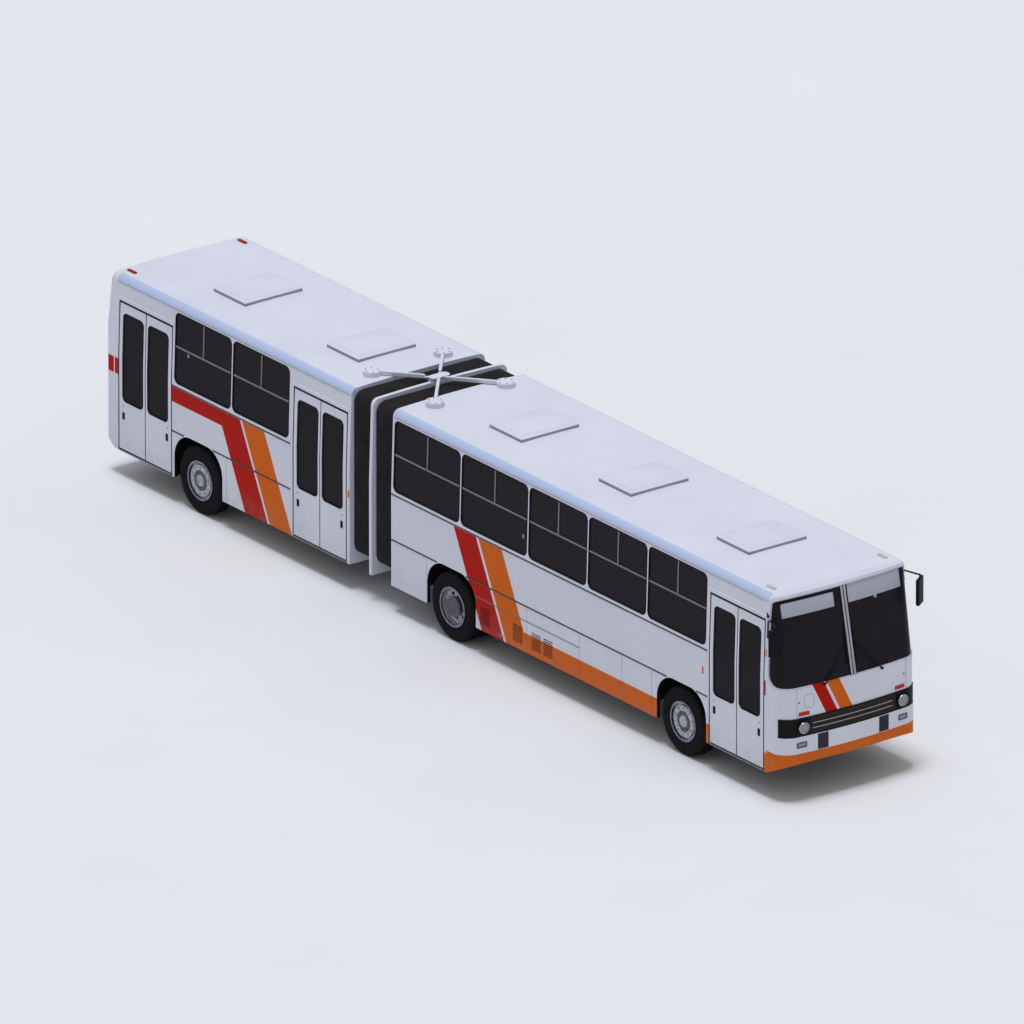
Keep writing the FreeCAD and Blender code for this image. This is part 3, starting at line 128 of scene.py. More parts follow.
def insideBox(tree, x, z, low, high, radius):
    # True inside a rounded rectangle.
    far = None
    for axis, a, b in ((x, low[0], high[0]), (z, low[1], high[1])):
        shift = addNode(tree, "Math", (axis, (a + b) / 2), operation="SUBTRACT")[0]
        reach = addNode(tree, "Math", (shift,), operation="ABSOLUTE")[0]
        over = addNode(tree, "Math", (reach, (b - a) / 2 - radius), operation="SUBTRACT")[0]
        out = addNode(tree, "Math", (over, 0.0), operation="MAXIMUM")[0]
        square = addNode(tree, "Math", (out, 2.0), operation="POWER")[0]
        far = square if far is None else addNode(tree, "Math", (far, square), operation="ADD")[0]
    return addNode(tree, "Math", (far, radius ** 2), operation="LESS_THAN")[0]


def axesOf(tree, place):
    x, y, z = addNode(tree, "SeparateXYZ", (place,))
    slant = addNode(tree, "Math", (z, livery["slant"], x), operation="MULTIPLY_ADD")[0]
    frontSlant = addNode(tree, "Math", (z, livery["frontSlant"], y), operation="MULTIPLY_ADD")[0]
    reach = addNode(tree, "Math", (y,), operation="ABSOLUTE")[0]
    return {"x": x, "y": y, "z": z, "slant": slant, "frontSlant": frontSlant, "reach": reach}


livery = {
    # the cove's colour is painted shade: a cooler, darker white where the cove turns away from the light
    "white": "#dddeea", "cooler": "#d6d8e4", "cove": "#bac7e4", "red": "#b41a0f", "orange": "#d6661b",
    "lining": "#b9b8b2", "seam": "#5d5c66", "dust": "#8f8a86", "pane": "#221e23", "underseal": "#1c1a1b",
    # how far a stripe leans on the side and on the nose, and the rail that it ends under
    "slant": 0.479, "frontSlant": 0.4957, "rail": 1.818,
}
enamel = {
    "tones": 0.9, "dust": {"From Min": 0.40, "From Max": 0.80, "To Min": 0.22, "To Max": 0.0},
    "dustSpeck": 0.12, "seamHalf": 0.003, "seamTop": 1.10, "lining": 0.03, "lean": -0.0308, "archHalf": 0.592,
    "archTop": 1.134, "archDeep": (1.10, 1.2485), "rough": (0.05, 0.36, 0.46), "paneGloss": 0.25,
    "wave": 0.35, "waveDeep": 0.0005,
}


# Sprayed two-pack enamel on steel: an even gloss over panels that are never quite flat, dusty at the skirt.
def bodyEnamel(name, bands=(), seams=(), axles=(), lined=False, pane=None):
    material, tree, shader, place = newFinish(name, IOR=1.45, Specular_IOR_Level=0.05)
    axes = axesOf(tree, place)
    z, reach = axes["z"], axes["reach"]
    ground = addNode(tree, "Mix", {0: speckle(tree, place, enamel["tones"]), 6: toLinear(livery["white"]),
                                   7: toLinear(livery["cooler"])}, data_type="RGBA")[2]
    ground = paintBands(tree, ground, axes, bands)
    low = addNode(tree, "MapRange", {"Value": z, **enamel["dust"]})[0]
    dust = addNode(tree, "Math", (low, speckle(tree, place, enamel["dustSpeck"])), operation="MULTIPLY")[0]
    half, high = enamel["seamHalf"], enamel["seamTop"]
    ground = paintBands(tree, ground, axes, [(livery["dust"], dust)] + [
        (livery["seam"], {"x": (x - half, x + half), "z": (0.0, high)}) for x in seams])
    if lined:   # the wall's inner face is panelled
        rise = addNode(tree, "Math", (z, body["belt"]), operation="SUBTRACT")[0]
        lean = addNode(tree, "Math", (rise, 0.0), operation="MAXIMUM")[0]
        limit = addNode(tree, "Math", (lean, enamel["lean"], body["half"] - enamel["lining"]),
                        operation="MULTIPLY_ADD")[0]
        inner = addNode(tree, "Math", (reach, limit), operation="LESS_THAN")[0]
        ground = paintBands(tree, ground, axes, [(livery["lining"], inner)])
    # Underseal on the cut edge of each wheel arch.
    half, high = enamel["archHalf"], enamel["archTop"]
    ground = paintBands(tree, ground, axes, [(livery["underseal"], {
        "x": (x - half, x + half), "z": (0.0, high), "reach": enamel["archDeep"]}) for x in axles])
    rough = speckle(tree, place, *enamel["rough"])
    if pane:    # a door leaf's pane is part of the leaf
        clear = insideBox(tree, axes["x"], z, *pane)
        ground = paintBands(tree, ground, axes, [(livery["pane"], clear)])
        gloss = addNode(tree, "MapRange", {"Value": clear, "To Min": 1.0, "To Max": enamel["paneGloss"]})[0]
        rough = addNode(tree, "Math", (rough, gloss), operation="MULTIPLY")[0]
    finishWith(tree, shader, ground, rough, speckle(tree, place, enamel["wave"], detail=1.0),
               enamel["waveDeep"])
    return material


# A finish with a ground colour, its specks, and a grain that lifts the surface. All sizes are in metres.
def grainyFinish(name, hexValue, speckHex, speck, grain, depth, rough, bands=(), **constants):
    # What isn't metal carries a film of dust, so that it reflects less than when it was new.
    if "Metallic" not in constants:
        constants = {"Specular_IOR_Level": 0.08, **constants}
    material, tree, shader, place = newFinish(name, **constants)
    colour = addNode(tree, "Mix",
                     {0: speckle(tree, place, speck), 6: toLinear(hexValue), 7: toLinear(speckHex)},
                     data_type="RGBA")[2]
    colour = paintBands(tree, colour, axesOf(tree, place), bands)
    finishWith(tree, shader, colour, speckle(tree, place, speck * 0.6, *rough),
               speckle(tree, place, grain), depth)
    return material


# PVC-coated polyester: matt, near black, chalky on its ridges, with the base cloth printing through.
def coatedCloth(name):
    material, tree, shader, place = newFinish(name, IOR=1.5, Sheen_Weight=0.12, Sheen_Roughness=0.4)
    # The real weave is 1 mm. It is drawn at 8 mm so that it shows.
    threads = [addNode(tree, "TexWave", {"Vector": place, "Scale": 20.0, "Distortion": 0.6},
                       bands_direction=axis)[1]
               for axis in "YZ"]
    weave = addNode(tree, "Math", tuple(threads), operation="MULTIPLY")[0]
    chalk = speckle(tree, place, 0.25)
    colour = addNode(tree, "Mix", {0: chalk, 6: toLinear("#1b191c"), 7: toLinear("#2b282c")},
                     data_type="RGBA")[2]
    finishWith(tree, shader, colour, speckle(tree, place, 0.10, 0.68, 0.86), weave, 0.0004)
    return material


frontSpan, trailerSpan, underRail = (-1.25, 7.81), (-7.99, -2.24), (0.30, livery["rail"])
nosePanel, tailFlap = {"x": (8.10, 8.30), "z": (1.27, 1.765)}, {"x": (-8.30, -8.20), "z": (0.800, 1.520)}
sideBands = {
    "front": [
        (livery["red"], {"x": frontSpan, "slant": (1.150, 1.690), "z": underRail}),
        (livery["orange"], {"x": frontSpan, "slant": (1.748, 2.314), "z": underRail}),
        (livery["orange"], {"x": frontSpan, "slant": (1.748, 12.0), "z": (0.30, 0.70)}),
    ],
    "trailer": [
        (livery["red"], {"x": (-7.990, -7.924), "z": (1.582, 1.834)}),
        (livery["red"], {"x": (-6.62, -2.0), "slant": (-8.0, -4.064), "z": (1.582, livery["rail"])}),
        (livery["red"], {"x": trailerSpan, "slant": (-4.62, -4.064), "z": underRail}),
        (livery["orange"], {"x": trailerSpan, "slant": (-4.013, -3.467), "z": underRail}),
    ],
}
noseBands = [
    (livery["orange"], {"z": (0.30, 0.742)}),
    (livery["red"], {**nosePanel, "frontSlant": (0.149, 0.349)}),
    (livery["orange"], {**nosePanel, "frontSlant": (0.397, 0.617)}),
]
tailBands = [
    (livery["red"], {"z": (1.582, 1.834)}),
    (livery["white"], {"x": (-8.034, -8.012), "z": (1.5, 1.9)}),
    # the joint round the flap
    (livery["seam"], {**tailFlap, "z": (1.514, 1.520), "reach": (-0.1, 0.86)}),
    (livery["seam"], {**tailFlap, "z": (0.800, 0.806), "reach": (-0.1, 0.86)}),
    (livery["seam"], {**tailFlap, "reach": (0.854, 0.860)}),
]
# The cove along each side of the roof is painted a cooler, darker white than the roof: painted shade, not a
# second paint.
coveBands = [(livery["cove"], {"reach": (1.122, 1.24), "z": (3.024, 3.145)})]
seamPlaces = (-0.380, 0.814, 2.044, 3.316, 4.342, 5.056)


def floorBands():
    # The shell below the floor and the wheelhouses are undersealed. Step wells have their own covering.
    yield livery["underseal"], {"z": (0.0, 0.905)}
    for jamb in doors.values():
        yield "#55565a", {"x": (jamb - 0.02, jamb + 1.31), "y": (-1.26, -0.4), "z": (0.41, 0.93)}
    for axle, deep in (("front", 0.5595), ("drive", 0.5595), ("rear", 0.7795)):
        x = body[axle + "Axle"]
        yield livery["underseal"], {"x": (x - 0.6005, x + 0.6005), "reach": (deep, 1.20), "z": (0.0, 1.1325)}


finishes = {
    "frontSide": bodyEnamel("SprayedEnamelFrontSide", sideBands["front"], seamPlaces,
                            (body["frontAxle"], body["driveAxle"]), lined=True),
    "trailerSide": bodyEnamel("SprayedEnamelTrailerSide", sideBands["trailer"], (-5.276,),
                              (body["rearAxle"],), lined=True),
    "white": bodyEnamel("SprayedEnamelWhite"),
    "roof": bodyEnamel("SprayedEnamelRoof", coveBands),
    "nose": bodyEnamel("SprayedEnamelNose", noseBands),
    "tail": bodyEnamel("SprayedEnamelTail", tailBands),
    # Tinted float glass: dark and flat, with a sharp reflection under a film of dust.
    "glass": grainyFinish("TintedFloatGlass", "#221e23", "#272328", 0.35, 0.9, 0.0002, (0.05, 0.12),
                          IOR=1.52, Specular_IOR_Level=0.04),
    # Extruded EPDM: dull black with a dry bloom.
    "seal": grainyFinish("ExtrudedEpdmSeal", "#151417", "#1d1c1f", 0.02, 0.004, 0.0002,
                         (0.62, 0.78), IOR=1.52),
    # Anodised aluminium section: soft satin grey.
    "aluminium": grainyFinish("AnodisedAluminium", "#7d7c85", "#86858d", 0.08, 0.01, 0.00005, (0.36, 0.46),
                              Metallic=0.75),
    # Anodised pane bars and rail inserts, dulled: mid grey.
    "bar": grainyFinish("DullAnodisedSection", "#77757f", "#706e78", 0.08, 0.01, 0.00005,
                        (0.42, 0.52), Metallic=0.3),
    # Bright anodised covers of the windscreen's post.
    "lightMetal": grainyFinish("BrightAnodisedCover", "#a9aab3", "#a1a2ab", 0.08, 0.01, 0.00005, (0.40, 0.48),
                               Metallic=0.3),
    # Extruded grey PVC of the rain gutter. On the hatch bases the same grey is painted shade that darkens
    # their sides under the white lids.
    "gutter": grainyFinish("GreyPvcAndPaintedHatchShade", "#aaaab6", "#a09fab", 0.10, 0.01, 0.0001,
                           (0.50, 0.60), IOR=1.53),
    # Moulded ABS with a leather-like grain. In the louvre slits the same black is painted shade.
    "blackPlastic": grainyFinish("MouldedBlackAbs", "#121214", "#18181a", 0.05, 0.003, 0.0003,
                                 (0.46, 0.58), IOR=1.53),
    # Woven steel mesh under black stoving enamel: dull, a little lighter than the band behind it.
    "grilleMesh": grainyFinish("EnamelledSteelMesh", "#38322e", "#453d38", 0.03, 0.003, 0.0002,
                               (0.42, 0.56), IOR=1.5),
    # Dark grey textured covers in the bumper. On the tail the same dark grey fills the vent slots as painted
    # shade.
    "darkPanel": grainyFinish("TexturedGreyPolypropylene", "#35333b", "#3c3a42", 0.04, 0.003,
                              0.0004, (0.60, 0.72), IOR=1.49),
    # Mastic in the panel joints, a shade darker than the enamel.
    "seamFiller": grainyFinish("JointMastic", "#8f8e99", "#868590", 0.03, 0.004, 0.0001,
                               (0.60, 0.70), IOR=1.5),
    # Injection-moulded grey ABS, satin.
    "greyPlastic": grainyFinish("MouldedGreyAbs", "#94959f", "#9c9da6", 0.10, 0.003, 0.0002,
                                (0.48, 0.58), IOR=1.53),
    # Frosted film on the inside of the glass, a flat light grey.
    "displayFilm": grainyFinish("FrostedDisplayFilm", "#b3b4c1", "#adaebb", 0.06, 0.004, 0.0001,
                                (0.50, 0.60), IOR=1.5),
    # Pressed steel with silver wheel enamel, dulled by brake dust.
    "wheelSteel": grainyFinish("SilverWheelEnamel", "#c3c3ce", "#908d8c", 0.05, 0.004, 0.0002, (0.34, 0.50),
                               Metallic=0.4),
    # The same enamel worn thin over the rolled rim, where the bare steel mirrors sky and ground.
    "rimSteel": grainyFinish("WornRolledRim", "#8e97a8", "#5d5c60", 0.04, 0.004, 0.0002, (0.22, 0.38),
                             Metallic=0.95),
    # Brushed-on hub paint, dark with grease and brake dust.
    "hubPaint": grainyFinish("GreasedHubPaint", "#6b6a73", "#4b4a50", 0.03, 0.004, 0.0004,
                             (0.48, 0.66), Metallic=0.4),
    # Forged steel of hubs and nuts, greased and dusty.
    "forgedSteel": grainyFinish("ForgedSteel", "#7b7a7e", "#5f5d5c", 0.03, 0.003, 0.0003,
                                (0.40, 0.58), Metallic=0.8),
    # Vulcanised tyre rubber: black and dry, browner where dust sits.
    "tyre": grainyFinish("VulcanisedTyreRubber", "#121215", "#1b191a", 0.06, 0.004, 0.0005,
                         (0.74, 0.90), IOR=1.52),
    "bellows": coatedCloth("CoatedPolyesterCloth"),
    # Stoved chassis enamel over hot-rolled steel, with a film of road dirt.
    "chassis": grainyFinish("StovedChassisEnamel", "#26272a", "#3a3633", 0.15, 0.006, 0.0006,
                            (0.50, 0.72), IOR=1.5),
    # Grey cast iron of the engine's block: sandy skin, dull sheen.
    "castIron": grainyFinish("GreyCastIron", "#4b4c4e", "#5b5550", 0.05, 0.003, 0.0008, (0.55, 0.75),
                             Metallic=0.55),
    # Calendered PVC safety floor with its pale flecks, over a body shell that is undersealed black.
    "floor": grainyFinish("PvcSafetyFloor", "#4a4b4e", "#63646a", 0.006, 0.003, 0.0003,
                          (0.60, 0.75), floorBands(), IOR=1.5),
    # Glass-fibre seat shells under gel coat: slightly rippled gloss.
    "seat": grainyFinish("GelCoatedSeatShell", "#6d6a66", "#757370", 0.2, 0.02, 0.0002,
                         (0.36, 0.46), IOR=1.5),
    # Chromium plate on brass: bright, a little hazed.
    "chrome": grainyFinish("ChromiumPlate", "#a9a9ab", "#9d9da0", 0.10, 0.02, 0.00002,
                           (0.10, 0.18), Metallic=1.0),
    # Moulded polycarbonate lamp lenses, fluted and saturated.
    "orangeLens": grainyFinish("OrangePolycarbonate", "#e36a1c", "#d85f14", 0.03, 0.004, 0.0004, (0.14, 0.22),
                               IOR=1.58),
    "indicatorLens": grainyFinish("DeepOrangePolycarbonate", "#c23a12", "#b5330f", 0.03, 0.004,
                                  0.0004, (0.16, 0.24), IOR=1.58),
    "redLens": grainyFinish("RedPolycarbonate", "#a8161a", "#9c1014", 0.03, 0.004, 0.0004,
                            (0.14, 0.22), IOR=1.58),
    "paleLens": grainyFinish("ClearPolycarbonate", "#c9ccc2", "#b3b7aa", 0.02, 0.004, 0.0005,
                             (0.16, 0.24), IOR=1.58),
    # Pressed headlamp glass over its reflector.
    "clearLens": grainyFinish("PressedLampGlass", "#84868a", "#94979b", 0.02, 0.006, 0.0006,
                              (0.08, 0.16), IOR=1.5, Metallic=0.3),
    # Real flutes in the lamp glass, coloured far paler than the lens: a painted highlight along them.
    "lampRibHighlight": grainyFinish("PressedLampRibHighlight", "#d3d6d6", "#c6c9c9", 0.02, 0.006, 0.0003,
                            (0.12, 0.20), IOR=1.5),
    # Silvered float glass of the mirrors.
    "mirror": grainyFinish("SilveredMirrorGlass", "#c4c9cd", "#bcc2c6", 0.3, 0.05, 0.00001,
                           (0.02, 0.04), Metallic=1.0),
}
print("finishes ready:", len(finishes))


def sideAt(height):
    lean = min(max((height - body["belt"]) / (body["cantrail"] - body["belt"]), 0.0), 1.0)
    return body["half"] - body["tumble"] * lean


def noseLines(z):
    # The mask's face, corner radius and side in plan at a height. Above the lower edge of the windscreen the
    # face leans back and the corners tighten.
    above = max(z - body["screenLow"], 0.0)
    part = min(above / (body["screenHigh"] - body["screenLow"]), 1.0)
    face = body["noseFace"] - body["screenLean"] * above
    corner = body["noseCorner"] - body["screenTighten"] * part
    straight = body["half"] - body["screenNarrow"] * part - corner
    radius = (straight ** 2 + body["noseBow"] ** 2) / (2 * body["noseBow"])
    return face, corner, straight, radius


def noseSpot(reach, z, out=0.0):
    # A place on the mask, from how far it is along it from the middle, its height and how far it stands off.
    face, corner, straight, radius = noseLines(z)
    along, sign = abs(reach), math.copysign(1.0, reach)
    if along <= straight:
        return face + body["noseBow"] - radius + math.sqrt(radius ** 2 - along ** 2) + out, reach, z
    turn = min((along - straight) / corner, math.pi / 2)
    past = max(along - straight - corner * math.pi / 2, 0.0)
    return (face - corner + (corner + out) * math.cos(turn) - past,
            sign * (straight + (corner + out) * math.sin(turn)), z)


def noseReach(x, z):
    # How far along the mask it is from the middle to a place on it.
    face, corner, straight, radius = noseLines(z)
    if x <= face - corner:
        return straight + corner * math.pi / 2 + face - corner - x
    if x < face:
        return straight + corner * math.acos((x - face + corner) / corner)
    return math.sqrt(max(radius ** 2 - (x - face - body["noseBow"] + radius) ** 2, 0.0))


def tailFace(y, z, proud=0.0):
    # The tail's upright panel and leaning window, bowed in plan with round corners.
    corner, bow = body["tailCorner"], body["tailBow"]
    straight = body["half"] - corner
    radius = (straight ** 2 + bow ** 2) / (2 * bow)
    y = min(abs(y), body["half"])
    if y <= straight:
        plan = body["tail"] + radius - math.sqrt(radius ** 2 - y ** 2)
    else:
        plan = body["tail"] + bow + corner - math.sqrt(max(corner ** 2 - (y - straight) ** 2, 0.0))
    steps = body["tailLean"]
    lean = steps[0][1]
    for (low, a), (high, b) in zip(steps, steps[1:]):
        if z >= low:
            lean = a + (b - a) * min((z - low) / (high - low), 1.0)
    return max(plan, body["tail"] + lean) - proud


def finishPiece(bm, name, finish, rider, sharp=35):
    bmesh.ops.remove_doubles(bm, verts=bm.verts, dist=1e-5)
    bmesh.ops.recalc_face_normals(bm, faces=bm.faces)
    mesh = bpy.data.meshes.new(name)
    bm.to_mesh(mesh)
    bm.free()
    mesh.materials.append(finishes[finish])
    mesh.shade_smooth()
    mesh.set_sharp_from_angle(angle=math.radians(sharp))
    piece = bpy.data.objects.new(name, mesh)
    bpy.context.scene.collection.objects.link(piece)
    if rider:
        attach(piece, rider)
    return piece


def mergeInto(bm, other):
    spare = bpy.data.meshes.new("spare")
    other.to_mesh(spare)
    other.free()
    bm.from_mesh(spare)
    bpy.data.meshes.remove(spare)


def around(centre, size, grow=0.0):
    # The low and the high corner of a rectangle.
    half = [length / 2 + grow for length in size]
    return [c - h for c, h in zip(centre, half)], [c + h for c, h in zip(centre, half)]


def addBlock(bm, low, high, edge=0.0, segments=2):
    made = bmesh.ops.create_cube(bm, size=1.0)["verts"]
    low, high = Vector(low), Vector(high)
    bmesh.ops.scale(bm, vec=high - low, verts=made)
    bmesh.ops.translate(bm, vec=(low + high) / 2, verts=made)
    if edge:
        edges = list({e for v in made for e in v.link_edges})
        bmesh.ops.bevel(bm, geom=edges, offset=edge, segments=segments, profile=0.5,
                        affect="EDGES", material=-1)


def addPlate(bm, low, high, radius=0.0, segments=5):
    # A flat plate in local x and y, with its corners rounded.
    made = bmesh.ops.create_grid(bm, x_segments=1, y_segments=1, size=0.5)["verts"]
    bmesh.ops.scale(bm, vec=(high[0] - low[0], high[1] - low[1], 1), verts=made)
    bmesh.ops.translate(bm, vec=((low[0] + high[0]) / 2, (low[1] + high[1]) / 2, 0), verts=made)
    face = made[0].link_faces[0]
    if radius:
        others = set(bm.faces) - {face}
        bmesh.ops.bevel(bm, geom=made, offset=radius, segments=segments, profile=0.5,
                        affect="VERTICES", material=-1)
        face = (set(bm.faces) - others).pop()
    return face


def pushOut(bm, faces, distance, edge=0.0):
    # Thickens flat faces along local z and rounds the upper rim.
    made = bmesh.ops.extrude_face_region(bm, geom=list(faces))["geom"]
    bmesh.ops.translate(bm, vec=(0, 0, distance),
                        verts=[g for g in made if isinstance(g, bmesh.types.BMVert)])
    if edge:
        top = {g for g in made if isinstance(g, bmesh.types.BMFace)}
        rim = {e for f in top for e in f.edges if sum(other in top for other in e.link_faces) == 1}
        bmesh.ops.bevel(bm, geom=list(rim), offset=edge, segments=2, profile=0.5, affect="EDGES", material=-1)


def addPad(bm, low, high, radius, height, edge=0.002, segments=4):
    pushOut(bm, [addPlate(bm, low, high, radius, segments)], height, edge)


def frameOf(bm, face, before, width):
    # Cuts the middle out of a face, and returns the faces that are left.
    bmesh.ops.inset_region(bm, faces=[face], thickness=width, use_even_offset=True, use_boundary=True)
    ring = [f for f in bm.faces if f not in before and f is not face]
    bmesh.ops.delete(bm, geom=[face], context="FACES")
    return ring


def addRing(bm, low, high, radius, width, height, edge=0.002, segments=5):
    # A flat frame inside a rounded outline, thickened along local z.
    before = set(bm.faces)
    pushOut(bm, frameOf(bm, addPlate(bm, low, high, radius, segments), before, width), height, edge)


def addPair(bm, add, place, *shape, grow=0.0):
    # The same pad or ring on the right and on the left, from its centre and size.
    (x, z), size = place
    for side in sideWords:
        add(bm, *around((side * x, z), size, grow), *shape)


def addDisc(bm, centre, rows, segments=24):
    # A turned piece facing along local z. Each row is a radius and a height.
    flat = bmesh.ops.create_circle(bm, cap_ends=True, segments=segments, radius=rows[0][0])["verts"]
    bmesh.ops.translate(bm, vec=(centre[0], centre[1], rows[0][1]), verts=flat)
    face = next(f for f in flat[0].link_faces if len(f.verts) == segments)
    for radius, height in rows[1:]:
        made = bmesh.ops.extrude_face_region(bm, geom=[face])["geom"]
        fresh = [g for g in made if isinstance(g, bmesh.types.BMVert)]
        bmesh.ops.delete(bm, geom=[face], context="FACES_ONLY")
        face = next(g for g in made if isinstance(g, bmesh.types.BMFace))
        for v in fresh:
            spread = Vector((v.co.x - centre[0], v.co.y - centre[1])).normalized() * radius
            v.co = (centre[0] + spread.x, centre[1] + spread.y, height)


def sliceAt(bm, axis, places):
    # Cuts across a mesh, so that it can follow a curved panel.
    normal = Vector((axis == 0, axis == 1, axis == 2))
    for place in places:
        bmesh.ops.bisect_plane(bm, geom=bm.verts[:] + bm.edges[:] + bm.faces[:], dist=1e-5,
                               plane_co=normal * place, plane_no=normal)


def toSide(bm, side, depth=0.0):
    # Local (x, y, z) becomes along the bus, height, and outwards from the body side.
    sliceAt(bm, 1, [body["belt"]])
    for v in bm.verts:
        x, y, z = v.co
        v.co = (x, side * (sideAt(y) + z + depth), y)


def toNose(bm, proud=0.0, pitch=0.08):
    # Local (x, y, z) becomes along the mask to the left, height, and outwards from it.
    reach = int(1.7 / pitch)
    sliceAt(bm, 0, [i * pitch for i in range(-reach, reach + 1)])
    sliceAt(bm, 1, [body["screenLow"], 2.2, 2.65])
    for v in bm.verts:
        x, y, z = v.co
        v.co = noseSpot(x, y, z + proud)


def toTail(bm, proud=0.0):
    sliceAt(bm, 0, [i * 0.1 for i in range(-12, 13)])
    sliceAt(bm, 1, [0.55, 0.90, 1.75, 2.40, 3.02])
    for v in bm.verts:
        x, y, z = v.co
        v.co = (tailFace(x, y, proud) - z, x, y)


def sweep(name, lines, radius, finish, rider):
    # Round bars along lines of points, as one piece.
    curve = bpy.data.curves.new(name, "CURVE")
    curve.dimensions = "3D"
    curve.bevel_depth = radius
    curve.bevel_resolution = 2
    curve.use_fill_caps = True
    for points in lines:
        spline = curve.splines.new("POLY")
        spline.points.add(len(points) - 1)
        for point, place in zip(spline.points, points):
            point.co = (*place, 1.0)
    holder = bpy.data.objects.new(name + "Line", curve)
    bpy.context.scene.collection.objects.link(holder)
    mesh = bpy.data.meshes.new_from_object(holder)
    bpy.data.objects.remove(holder)
    bm = bmesh.new()
    bm.from_mesh(mesh)
    return finishPiece(bm, name, finish, rider, sharp=50)


def onSide(name, make, finish, rider, depth=0.0, **options):
    # The same piece on both sides of the body.
    for side, word in sideWords.items():
        bm = bmesh.new()
        make(bm, side)
        toSide(bm, side, depth)
        finishPiece(bm, name + word, finish, rider, **options)


def onNose(name, make, finish, proud=0.0, pitch=0.08):
    bm = bmesh.new()
    make(bm)
    toNose(bm, proud, pitch)
    return finishPiece(bm, name, finish, "front_section")


# CAD nodes that stay, with their finishes.
kept = {
    "frontSide": ["front_side_right", "front_side_left"],
    "trailerSide": ["trailer_side_right", "trailer_side_left"],
    "roof": ["front_roof", "trailer_roof"],
    # The hatch bases take the gutter's grey: painted shade on their sides, under the white lids.
    "gutter": ["front_hatches", "trailer_hatches"],
    "white": ["middle_hoop", "front_linkage", "trailer_linkage"],
    "nose": ["front_nose", "front_bumper"],
    "tail": ["trailer_tail"],
    "glass": ["front_glass", "trailer_glass"],
    "blackPlastic": ["mirrors", "wipers", "front_grille"],
    "greyPlastic": ["dashboard"],
    "floor": ["front_floor", "trailer_floor"],
    "seat": ["front_seats", "trailer_seats"],
    "chassis": ["front_chassis", "trailer_chassis", "front_axle", "rear_axle", "drive_axle"] + [
        axle + "_knuckle_" + side for axle in ("front", "rear") for side in ("right", "left")],
    "castIron": ["engine"],
    "rimSteel": [rims + side for rims in ("front_rim_", "rear_rim_", "drive_rims_")
                 for side in ("right", "left")],
    "aluminium": [door + "_door_arm_" + leaf for door in doors for leaf in "ab"],
}
leafLines = {"jamb": 0.075, "lead": 0.042, "gap": 0.010, "wide": 0.625, "low": 1.198, "high": 2.584,
             "round": 0.085, "seated": 0.00015}


def leafSpan(door, leaf):
    # A leaf's jamb edge, and which way it runs from there.
    if leaf == "a":
        return doors[door] + leafLines["gap"], 1
    return doors[door] + doorWide - leafLines["gap"], -1


def panes():
    for door in doors:
        for leaf in "ab":
            start, toward = leafSpan(door, leaf)
            reaches = leafLines["jamb"], leafLines["wide"] - leafLines["lead"]
            yield door, leaf, sorted(start + toward * reach for reach in reaches)


def dressFrame():
    dressed = {name: finishes[finish] for finish, names in kept.items() for name in names}
    seated, low, high = leafLines["seated"], leafLines["low"], leafLines["high"]
    for door, leaf, (x0, x1) in panes():
        pane = ((x0 + seated, low + seated), (x1 - seated, high - seated), leafLines["round"])
        dressed[door + "_door_leaf_" + leaf] = bodyEnamel(
            "SprayedEnamelLeaf" + door.capitalize() + leaf.upper(), lined=True, pane=pane)
    for name, material in dressed.items():
        nodes[name].data.materials.clear()
        nodes[name].data.materials.append(material)


dressFrame()
print("frame dressed")

stage = {
    "target": (0.0087, 0.0116, 1.645), "away": 661.6, "azimuth": 53.152, "elevation": 21.783, "lens": 1600.0,
    "clip": (10.0, 1500.0), "floor": 1200.0, "floorColours": ("#eceded", "#e8e9ea"),
    "world": 0.45, "seen": 0.76, "sky": (0.965, 0.97, 1.0, 1.0), "sun": 1.75, "sunColour": (0.89, 0.93, 1.0),
    "sunAngle": 16.0, "sunFrom": (-0.02, -0.06, 1.0),
}


def setCamera(scene):
    camera = bpy.data.objects.new("Camera", bpy.data.cameras.new("Camera"))
    scene.collection.objects.link(camera)
    a, e = math.radians(stage["azimuth"]), math.radians(stage["elevation"])
    back = Vector((math.sin(a) * math.cos(e), -math.cos(a) * math.cos(e), math.sin(e)))
    camera.location = Vector(stage["target"]) + back * stage["away"]
    camera.rotation_euler = (-back).to_track_quat("-Z", "Y").to_euler()
    camera.data.lens = stage["lens"]
    camera.data.clip_start, camera.data.clip_end = stage["clip"]
    scene.camera = camera


def setFloor():
    # Matt seamless studio floor, very slightly uneven in tone.
    finishes["studioFloor"], tree, shader, place = newFinish("MattStudioFloor")
    pale, dark = (toLinear(hexValue) for hexValue in stage["floorColours"])
    colour = addNode(tree, "Mix", {0: speckle(tree, place, 4.0), 6: pale, 7: dark}, data_type="RGBA")[2]
    finishWith(tree, shader, colour, speckle(tree, place, 0.5, 0.85, 0.95),
               speckle(tree, place, 0.02), 0.0001)
    bm = bmesh.new()
    bmesh.ops.create_grid(bm, x_segments=8, y_segments=8, size=stage["floor"])
    finishPiece(bm, "StudioFloor", "studioFloor", None)


